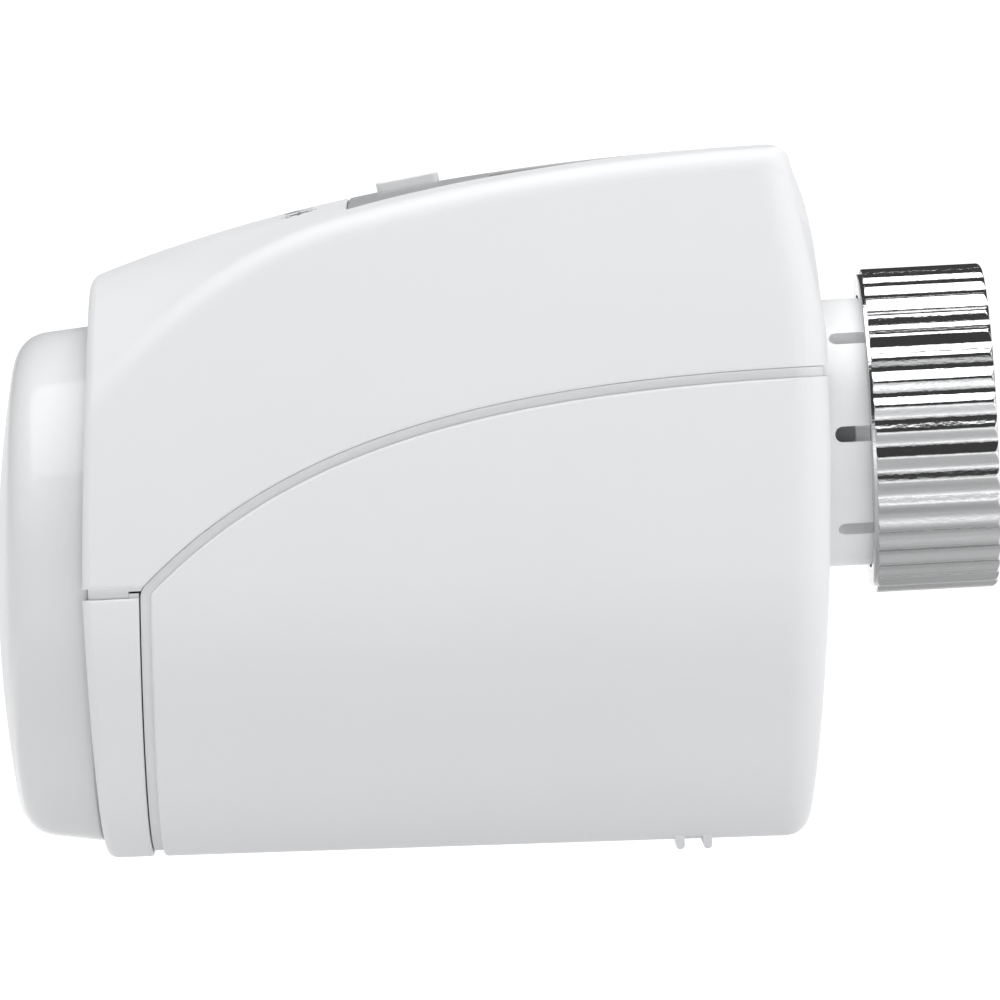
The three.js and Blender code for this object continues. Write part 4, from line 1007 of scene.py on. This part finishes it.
def dome_depth(radius):
    return DIAL_HEIGHT - DIAL_DOME_RADIUS + math.sqrt(DIAL_DOME_RADIUS ** 2 - radius ** 2)


def bezier(points, steps):
    """Points on a quadratic curve, without its first one."""
    a, b, c = (np.array(p, float) for p in points)
    shares = [i / steps for i in range(1, steps + 1)]
    return [tuple((1 - t) ** 2 * a + 2 * t * (1 - t) * b + t ** 2 * c) for t in shares]


def dial_knob():
    edge = 22.3
    profile = [(-dome_depth(radius), radius) for radius in np.linspace(0, edge, 20)]
    profile += bezier([profile[-1], (-7.95, 25.45), (-4.9, 25.83)], 16)
    profile += bezier([profile[-1], (-2.4, 26.15), (-0.25, DIAL_RADIUS)], 6)
    profile += bezier([profile[-1], (0.2, DIAL_RADIUS + 0.02), (0.5, DIAL_RADIUS - 0.6)], 6)
    inner = DIAL_RADIUS - 2.6
    profile += [
        (0.5, inner), (-5.2, inner - 1), (-6.2, inner - 2.4), (-DIAL_HEIGHT + 2.6, 6.5),
        (-0.6, 6.5), (-0.6, DIAL_SHAFT_RADIUS), (8.6, DIAL_SHAFT_RADIUS),
        (8.6, DIAL_SHAFT_RADIUS - 0.7), (9.6, DIAL_SHAFT_RADIUS - 0.7),
        (9.6, DIAL_SHAFT_RADIUS - 0.2), (10.2, DIAL_SHAFT_RADIUS - 0.9),
        (14.0, DIAL_SHAFT_RADIUS - 0.9), (14.0, 0.0),
    ]
    return moved(turned_x(profile, 256), dial_matrix)


finished(dial_knob(), "dial_cap", "dial", dial_white, ["dial_knob"], 40.0)

# ---- panel and buttons


def lens_material():
    """Smoked glossy plastic, very slightly cloudy."""
    material, tree, principled, place = shader("smoked_lens")
    smoke = noise(tree, place, 60.0, 2.0)
    feed(tree, principled, {
        "Base Color": tinted(tree, smoke, (0.022, 0.023, 0.025), (0.030, 0.031, 0.033)),
        "Roughness": 0.12,
        "Specular IOR Level": 0.02,
    })
    bumped(tree, principled, noise(tree, place, 400.0, 2.0), 1e-6)
    return material


def panel_piece(outline):
    """Part of the housing's outer layer inside an outline."""
    skin_layer = cut(copied(outer_form), envelope(PANEL_THICKNESS, 40, 4, 4))
    return common(skin_layer, prism_z(outline, 15.0, FAR))


def button_outline(grow, y):
    return rounded_rectangle(
        BUTTON_LENGTH + 2 * grow, BUTTON_WIDTH + 2 * grow, max(0.2, BUTTON_CORNER + grow), 0.0, y)


def button_hole(y):
    return moved(prism_z(button_outline(0.06, y), -6.0, 6.0), button_matrix)


def button(y):
    """A key with rounded edges, a skirt that stops it falling out, and a stem."""
    levels = [(-3.2, 0.8), (-2.35, 0.8), (-2.3, 0.0), (-0.6, 0.0)]
    levels += arc(BUTTON_PROUD - BUTTON_CHAMFER, -BUTTON_CHAMFER, BUTTON_CHAMFER, QUARTER, 0.0, 6)
    rings = [[(px, py, z) for px, py in button_outline(grow, y)] for z, grow in levels]
    obj = joined(skin(rings), rod_z(-3.5, -3.0, 1.4, 32, 0.0, y))
    return moved(obj, button_matrix)


button_rows = {"near": -BUTTON_PITCH, "centre": 0.0, "far": BUTTON_PITCH}
strip = panel_piece(panel_outline(PANEL_LEFT_X, PANEL_SPLIT_X, 0.0))
cut(
    strip,
    edge_tool(crown_places(PANEL_LEFT_X, 1), corner_profile()),
    *[button_hole(y) for y in button_rows.values()])
finished(strip, "button_panel", "head", panel_grey, ["button_strip"])
lens = panel_piece(panel_outline(PANEL_SPLIT_X, PANEL_RIGHT_X, 0.0))
finished(lens, "display_window", "head", lens_material(), ["display_lens"])
for row, y in button_rows.items():
    finished(
        button(y), f"key_{row}", f"button_{row}", button_grey, [f"button_{row}"], 40.0)


def icon_print():
    """Sun and moon printed beside the near button."""
    def disc(radius, x, y, lower=0.0):
        return prism_z(arc(x, y, radius, 0.0, 4 * QUARTER, 48)[:-1], lower, FAR - lower)

    moon = cut(disc(1.6, ICON_X, MOON_Y), disc(1.35, ICON_X + 0.9, MOON_Y + 0.5, -1.0))
    shapes = [disc(0.95, ICON_X, SUN_Y)]
    for i in range(8):
        ray = prism_z(rounded_rectangle(0.7, 0.32, 0.12, 1.5), 0.0, FAR)
        shapes.append(moved(ray, turned_at((ICON_X, SUN_Y, 0.0), i * QUARTER / 2, "Z")))
    ink = cut(envelope(-0.02, 40, 4, 4), copied(outer_form))
    return common(joined(moon, *shapes), ink)


finished(icon_print(), "printed_icons", "head", print_grey)

# ---- valve end


def union_nut():
    """Ribbed nut with rounded ends, a rim at the housing's side and a real thread."""
    segments = NUT_RIBS * 16
    angle = np.linspace(0, 2 * math.pi, segments, endpoint=False)
    wave = 0.5 - 0.5 * np.cos(NUT_RIBS * angle)
    ribbed = NUT_RADIUS - NUT_RIB_DEPTH * wave ** 0.8

    def rounded_end(end_x, way, round_over):
        """Rings from the middle of the nut out to an end face, over a rounded edge."""
        over = []
        for share in np.linspace(0, QUARTER, 15):
            limit = NUT_RADIUS - round_over * (1 - math.cos(share))
            x = end_x - way * round_over * (1 - math.sin(share))
            over.append(ring_x(x, np.minimum(ribbed, limit), angle))
        return over

    rim_x = -NUT_LENGTH + NUT_RIM
    rim = [(0.0, 0.15), (0.05, 0.05), (0.15, 0.0), (NUT_RIM, 0.0)]
    rings = [ring_x(-NUT_LENGTH + along, NUT_RIM_RADIUS - less, angle) for along, less in rim]
    rings += rounded_end(rim_x, -1, 0.2)[::-1]
    rings += rounded_end(0.0, 1, NUT_END_ROUND)
    rings.append(ring_x(0.0, 15.0, angle))
    rows = 96
    for i in range(rows + 1):
        x = THREAD_START_X + (THREAD_STOP_X - THREAD_START_X) * i / rows
        phase = (x / THREAD_PITCH + angle / (2 * math.pi)) % 1.0
        tooth = 1 - np.abs(2 * phase - 1)
        fade = min(1.0, (rows - i) / 6)
        depth = 0.7 * fade * np.clip(1.25 * tooth - 0.12, 0, 1)
        rings.append(ring_x(x, THREAD_RADIUS + depth, angle))
    mouth = COLLAR_RADIUS + COLLAR_CLEARANCE
    for x, radius in (
        (THREAD_STOP_X, NUT_RECESS_RADIUS), (NUT_RECESS_X, NUT_RECESS_RADIUS),
        (NUT_RECESS_X, mouth), (-NUT_LENGTH, mouth),
    ):
        rings.append(ring_x(x, radius, angle))
    return skin(rings, True)


def collar_slot(index):
    half = COLLAR_SLOT_WIDTH / 2
    outline = [(0.0, -half), (0.0, half)]
    outline += arc(COLLAR_SLOT_END_X + half, 0.0, half, QUARTER, 3 * QUARTER, 16)
    turn = Matrix.Rotation(2 * math.pi * index / COLLAR_SLOTS, 4, "X")
    return moved(prism_y(outline, 8.0, 20.0), turn)


def valve_collar():
    obj = turned_x([
        (COLLAR_ROOT_X, COLLAR_BORE), (COLLAR_ROOT_X, COLLAR_FLANGE_RADIUS),
        (COLLAR_FLANGE_X, COLLAR_FLANGE_RADIUS), (COLLAR_FLANGE_X, COLLAR_RADIUS),
        (-10.6, COLLAR_RADIUS), (-10.6, 14.55), (-10.45, 14.7), (-9.7, 14.7), (-9.5, 14.6),
        (COLLAR_TIP_X, COLLAR_RADIUS), (COLLAR_TIP_X, COLLAR_BORE + 0.3),
        (COLLAR_TIP_X - 0.3, COLLAR_BORE),
    ], 256)
    return cut(obj, *[collar_slot(i) for i in range(COLLAR_SLOTS)])


def plunger_guide():
    """Sleeve with fine ribs on its outer end and two keyways."""
    ribs = 60
    segments = ribs * 6
    angle = np.linspace(0, 2 * math.pi, segments, endpoint=False)
    wave = np.clip(np.cos(ribs * angle) * 1.5, -1, 1)
    ribbed = GUIDE_RADIUS - 0.25 + 0.22 * wave
    stations = [
        (COLLAR_ROOT_X, GUIDE_RADIUS), (-14.3, GUIDE_RADIUS), (-14.1, ribbed), (-12.6, ribbed),
        (-12.4, ribbed - 0.2), (-12.4, GUIDE_BORE), (COLLAR_ROOT_X, GUIDE_BORE),
    ]
    rings = [ring_x(x, radius, angle) for x, radius in stations]
    obj = skin(rings, True)
    keyways = block(-22.0, -12.0, -7.2, 7.2, -1.3, 1.3)
    return cut(obj, keyways)


def plunger():
    """Threaded spindle with two keys and a flat head."""
    rows = [(-30.8, 0.0), (-30.8, SPINDLE_RADIUS - 0.4)]
    pitch = 1.0
    x = -30.4
    while x < -19.5:
        rows += [(x, SPINDLE_RADIUS), (x + 0.5 * pitch, SPINDLE_RADIUS - 0.45)]
        x += pitch
    rows += [
        (-19.2, SPINDLE_RADIUS), (-16.0, SPINDLE_RADIUS), (-16.0, 5.3), (-15.9, 5.4), (-11.1, 5.4),
        (-10.8, 5.3), (-10.55, 5.05), (PLUNGER_TIP_X, 4.8), (PLUNGER_TIP_X, 0.0),
    ]
    obj = turned_x(rows, 96)
    keys = block(-18.6, -15.8, -6.8, 6.8, -1.0, 1.0)
    return joined(obj, keys)


def guide_material():
    """Pale sleeve with a dark grey band of painted shade on its sides, where the near and far collar
    slots look in, short of the ribbed end.
    """
    material, tree, principled, place = shader("guide_grey")
    x, _, z = split_place(tree, place)
    # Painted shade: the sleeve is dark only on its sides, where the slots look into the collar.
    ribbed_end = ramp(tree, x, -14.2 * MM, -14.0 * MM)
    clear_of_painted_shade = ramp(tree, math_node(tree, "ABSOLUTE", z), 3.0 * MM, 3.1 * MM)
    pale = math_node(tree, "MAXIMUM", ribbed_end, clear_of_painted_shade)
    feed(tree, principled, {
        "Base Color": tinted(tree, pale, (0.22, 0.225, 0.23), (0.84, 0.845, 0.85)),
        "Roughness": spread(tree, noise(tree, place, 300.0), 0.4, 0.55),
    })
    bumped(tree, principled, noise(tree, place, 1800.0, 2.0), 5e-6)
    return material


finished(union_nut(), "ribbed_nut", "nut", chrome, ["union_nut"], 50.0)
finished(valve_collar(), "slotted_collar", "head", collar_white, ["valve_collar"])
finished(plunger_guide(), "guide_sleeve", "head", guide_material(), ["plunger_guide"], 50.0)
finished(plunger(), "push_spindle", "plunger", acetal, ["plunger"], 25.0)

# ---- battery bay


def chassis():
    """Frame that carries the two cells, with round bays and leads' channels."""
    low = -38.0
    wall_top = DECK_Z - 1
    half = 25.4
    lug_x = -82.6
    deck = block(CHASSIS_LEFT_X, CHASSIS_RIGHT_X, -half, half, DECK_Z - DECK_THICKNESS, DECK_Z)
    left_wall = block(CHASSIS_LEFT_X, BAY_LEFT_X, -half, half, low, wall_top)
    right_wall = block(BAY_RIGHT_X, CHASSIS_RIGHT_X, -22.0, 22.0, low, wall_top)
    cradle = block(BAY_LEFT_X - 0.5, BAY_RIGHT_X + 0.5, -16.4, 16.4, -26.0, wall_top)
    bosses = [rod_x(-87.6, lug_x, POST_RADIUS, 40, y, z) for y, z in BEZEL_SCREWS]
    lugs = [
        block(CHASSIS_LEFT_X, lug_x, y - POST_RADIUS, y + POST_RADIUS, wall_top, z)
        for y, z in BEZEL_SCREWS
    ]
    bays = [rod_x(BAY_LEFT_X, BAY_RIGHT_X, CELL_RADIUS + 0.4, 128, y, CELL_Z) for y in CELL_YS]
    lead_channels = [
        block(BAY_RIGHT_X - 1.6, BAY_RIGHT_X + 0.4, y - 1.2, y + 2, CELL_Z + 4, DECK_Z + 1)
        for y in CELL_YS
    ]
    contact_slots = [
        block(BAY_LEFT_X, BAY_LEFT_X + 1, -12.4, 12.4, CELL_Z - 5, CELL_Z + 5),
        block(BAY_RIGHT_X - 1, BAY_RIGHT_X, -12.8, 12.8, CELL_Z - 5.4, CELL_Z + 5.4),
    ]
    holes = [rod_z(-22.0, -17.0, SCREW_WAY_RADIUS, 32, x, y) for x, y, _ in POSTS]
    holes += [rod_z(-22.0, -17.0, GEARBOX_FOOT_RADIUS, 32, x, y) for x, y in GEARBOX_FEET]
    holes += [rod_x(-88.0, -83.4, PILOT_RADIUS, 32, y, z) for y, z in BEZEL_SCREWS]
    obj = joined(deck, left_wall, right_wall, cradle, *bosses, *lugs)
    cut(obj, *bays, *lead_channels, *contact_slots, *holes)
    return common(obj, envelope(WALL + 0.5, 24, 6, 4))


def cell(y, nub_x, way):
    """AA cell: way points along X from the tip of its nub to its flat end."""
    profile = [
        (0.0, 0.0), (0.0, 2.35), (0.1, 2.6), (0.35, 2.72), (1.5, 2.75), (1.5, 6.0), (1.42, 6.3),
        (1.42, 6.75), (1.55, 7.05), (1.85, 7.21), (2.2, CELL_RADIUS),
    ]
    profile += [
        (CELL_LENGTH - 0.75 + 0.7 * math.sin(a), CELL_RADIUS - 0.55 + 0.55 * math.cos(a))
        for a in np.linspace(0, QUARTER, 7)
    ]
    profile += [(CELL_LENGTH, 6.4), (CELL_LENGTH, 0.0)]
    profile = [(nub_x + way * along, radius) for along, radius in profile]
    return turned_x(profile, 128, y, CELL_Z)


def cell_material(name, y, nub_x, way):
    """Bare metal ends, a dark sleeve with a copper-coloured band near the nub."""
    material, tree, principled, place = shader(name)
    x, across, height = split_place(tree, place)
    off_axis = added(tree, "CombineXYZ", {"Y": across, "Z": height}).outputs["Vector"]
    radius = distance_from(tree, off_axis, (0.0, y * MM, CELL_Z * MM))
    sleeve = ramp(tree, radius, 6.47 * MM, 6.53 * MM)
    band_x = nub_x + way * 13
    band = ramp(tree, x, (band_x - 0.05) * MM, (band_x + 0.05) * MM)
    copper = (0.45, 0.20, 0.09)
    dark = (0.03, 0.032, 0.035)
    wrap = tinted(tree, band, copper, dark) if way > 0 else tinted(tree, band, dark, copper)
    feed(tree, principled, {
        "Base Color": tinted(tree, sleeve, (0.62, 0.62, 0.61), wrap),
        "Metallic": math_node(tree, "SUBTRACT", 1.0, sleeve),
        "Roughness": spread(tree, noise(tree, place, 220.0), 0.22, 0.34),
    })
    bumped(tree, principled, noise(tree, place, 120.0, 2.0), 8e-6)
    return material


def swept(path, radius, sides=16):
    """Round wire along a path of points."""
    path = np.asarray(path, float)
    along = np.gradient(path, axis=0)
    along /= np.linalg.norm(along, axis=1)[:, None]
    across = np.cross(along[0], (0.31, 0.52, 0.79))
    rings = []
    for point, tangent in zip(path, along):
        across = across - tangent * across.dot(tangent)
        across /= np.linalg.norm(across)
        other = np.cross(tangent, across)
        angles = np.linspace(0, 2 * math.pi, sides, endpoint=False)
        rings.append([
            point + radius * (math.cos(a) * across + math.sin(a) * other) for a in angles
        ])
    return skin(rings)


def contact_spring(y, start, stop):
    """Conical coil, wide at the contact plate and narrow at the cell."""
    wire = 0.28
    turns = 4.5
    steps = 150
    way = math.copysign(1.0, stop - start)
    path = []
    for i in range(steps + 1):
        share = i / steps
        rise = min(1.0, max(0.0, (share - 0.16) / 0.68))
        angle = 2 * math.pi * turns * share
        radius = SPRING_WIDE_RADIUS + (SPRING_NARROW_RADIUS - SPRING_WIDE_RADIUS) * share
        x = start + way * wire + (stop - start - 2 * way * wire) * rise
        path.append((x, y + radius * math.cos(angle), CELL_Z + radius * math.sin(angle)))
    return swept(path, wire)


def screw(matrix, length):
    """Pan-head screw with a cross recess, turned about X with its seat at x = 0."""
    profile = [
        (-1.4, 0.0), (-1.4, 1.0), (-1.3, 1.4), (-1.05, 1.8), (-0.6, 2.04), (0.0, 2.1), (0.0, 0.75)]
    x = 0.6
    while x < length - 1.2:
        profile += [(x, 0.75), (x + 0.25, 0.6)]
        x += 0.5
    profile += [(length - 0.8, 0.7), (length, 0.0)]
    recess = [
        block(-2.0, -0.7, -0.95, 0.95, -0.22, 0.22),
        block(-2.0, -0.7, -0.22, 0.22, -0.95, 0.95),
    ]
    return moved(cut(turned_x(profile, 48), *recess), matrix)


def retaining_clip():
    inner = DIAL_SHAFT_RADIUS - 0.5
    profile = [(8.75, inner), (8.75, 5.8), (8.85, 5.9), (9.35, 5.9), (9.45, 5.8), (9.45, inner)]
    mouth = block(8.0, 10.0, -2.4, 2.4, 0.0, 8.0)
    return moved(cut(turned_x(profile, 96), mouth), dial_matrix)


finished(chassis(), "battery_chassis", "head", inner_white, ["chassis"])
cells = {"near": (CELL_YS[0], RIGHT_NUB_X, -1), "far": (CELL_YS[1], LEFT_NUB_X, 1)}
for name, (y, nub_x, way) in cells.items():
    paint = cell_material(f"cell_{name}", y, nub_x, way)
    finished(cell(y, nub_x, way), f"aa_cell_{name}", "head", paint, [f"battery_{name}"])
    plate_x = LEFT_NUB_X if way < 0 else RIGHT_NUB_X
    spring = contact_spring(y, plate_x, nub_x + way * (CELL_LENGTH + 0.3))
    finished(spring, f"coil_{name}", "head", steel, [f"battery_spring_{name}"], 60.0)
finished(retaining_clip(), "shaft_clip", "dial", steel, ["dial_retaining_clip"])

seat_z = DECK_Z - DECK_THICKNESS - 0.05
screws = [("housing_screw", (x, y, seat_z), -QUARTER, 9.0) for x, y, _ in POSTS]
screws += [("chassis_screw", (x, y, seat_z), -QUARTER, 5.0) for x, y in GEARBOX_FEET]
screws += [("bezel_screw", (BEZEL_SCREW_SEAT_X, y, z), 0.0, 6.0) for y, z in BEZEL_SCREWS]
numbers = {}
for kind, seat, turn, length in screws:
    numbers[kind] = numbers.get(kind, 0) + 1
    node = f"{kind}_{numbers[kind]}"
    finished(
        screw(turned_at(seat, turn), length),
        f"cross_{node}", "head", steel, [node], 25.0)

# ---- finishes of the CAD nodes

node_finishes = [
    (inner_white, ["gearbox_base", "gearbox_cover", "lcd_frame"]),
    (acetal, ["output_gear", "second_gear", "first_gear"]),
    (black_plastic, [
        "dial_encoder", "microcontroller", "switch_near", "switch_centre", "switch_far"]),
    (board_green, ["main_board", "encoder_board"]),
    (lcd_glass, ["lcd_glass"]),
    (ribbon_grey, ["encoder_ribbon"]),
    (lead_red, ["motor_lead_red", "battery_lead_far"]),
    (lead_black, ["motor_lead_black", "battery_lead_near"]),
    (motor_steel, ["motor"]),
    (steel, [
        "battery_link_contact", "battery_terminal_near", "battery_terminal_far", "motor_pinion",
        "second_gear_axle", "first_gear_axle",
        *[f"gearbox_screw_{i}" for i in (1, 2, 3)],
        *[f"{kind}_screw_{i}" for kind in ("motor", "board") for i in (1, 2)]]),
]
for material, nodes in node_finishes:
    for node in nodes:
        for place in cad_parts[node].material_slots:
            place.material = material

# ---- stage


def floor():
    """Pale floor that glows with painted light, dim under the object and bright far off, low enough
    for the battery cover to come off above it.
    """
    half = 0.6
    level = cad_box[0][2] - (COVER_TRAVEL + 0.5) * MM
    corners = [(-half, -half, level), (half, -half, level), (half, half, level), (-half, half, level)]
    mesh = bpy.data.meshes.new("floor")
    mesh.from_pydata(corners, [], [(0, 1, 2, 3)])
    material, tree, principled, place = shader("glowing_pale_floor")
    away = distance_from(tree, place, (-0.05, 0.0, level))
    feed(tree, principled, {
        "Base Color": tinted(tree, noise(tree, place, 2.0), (0.61, 0.61, 0.61), (0.63, 0.63, 0.63)),
        "Roughness": 0.9,
        "Specular IOR Level": 0.0,
        # Painted light: the floor glows, weakly near the object and strongly far from it.
        "Emission Color": (1.0, 1.0, 1.0, 1.0),
        "Emission Strength": ramp(tree, away, 0.11, 0.40, low=0.14, high=1.5),
    })
    mesh.materials.append(material)
    linked("floor", mesh)


def studio_world():
    """White surround near the horizon, a dimmer ceiling above it."""
    world = bpy.data.worlds.new("studio")
    bpy.context.scene.world = world
    world.use_nodes = True
    tree = world.node_tree
    place = added(tree, "TexCoord", {}).outputs["Generated"]
    rise = split_place(tree, place)["Z"]
    feed(tree, tree.nodes["Background"], {
        "Color": (1.0, 1.0, 1.0, 1.0),
        "Strength": ramp(tree, rise, 0.05, 0.16, low=1.15, high=0.08),
    })


def softbox(name, place, size, power, target=(-0.05, 0.0, -0.005)):
    """Rectangular soft light aimed at the object."""
    light = bpy.data.lights.new(name, "AREA")
    light.shape = "RECTANGLE"
    light.size, light.size_y = size
    light.energy = power
    obj = linked(name, light)
    obj.location = place
    obj.rotation_euler = (Vector(target) - Vector(place)).to_track_quat("-Z", "Y").to_euler()


def camera():
    """Long lens, level with the object, rolled three degrees."""
    target = Vector((-50.44, 0.0, -5.10)) * MM
    distance = 0.85
    elevation = math.radians(1.3)
    roll = math.radians(3.0)
    forward = Vector((0.0, math.cos(elevation), -math.sin(elevation)))
    level_up = Vector((0.0, math.sin(elevation), math.cos(elevation)))
    level_right = Vector((1.0, 0.0, 0.0))
    right = level_right * math.cos(roll) - level_up * math.sin(roll)
    up = level_right * math.sin(roll) + level_up * math.cos(roll)
    data = bpy.data.cameras.new("camera")
    data.lens = 298.2
    data.sensor_width = 36.0
    data.clip_start = 0.01
    data.clip_end = 50.0
    obj = linked("camera", data)
    basis = Matrix((right, up, -forward)).transposed().to_4x4()
    obj.matrix_world = Matrix.Translation(target - forward * distance) @ basis
    bpy.context.scene.camera = obj


for helper in (outer_form, inner_form, shell):
    bpy.data.objects.remove(helper)
floor()
studio_world()
softbox("overhead softbox", (-0.05, -0.15, 0.70), (0.9, 0.7), 7.6)
softbox("right softbox", (0.80, -0.15, 0.25), (0.7, 0.6), 2.1)
camera()
bpy.context.scene.view_settings.view_transform = "Standard"
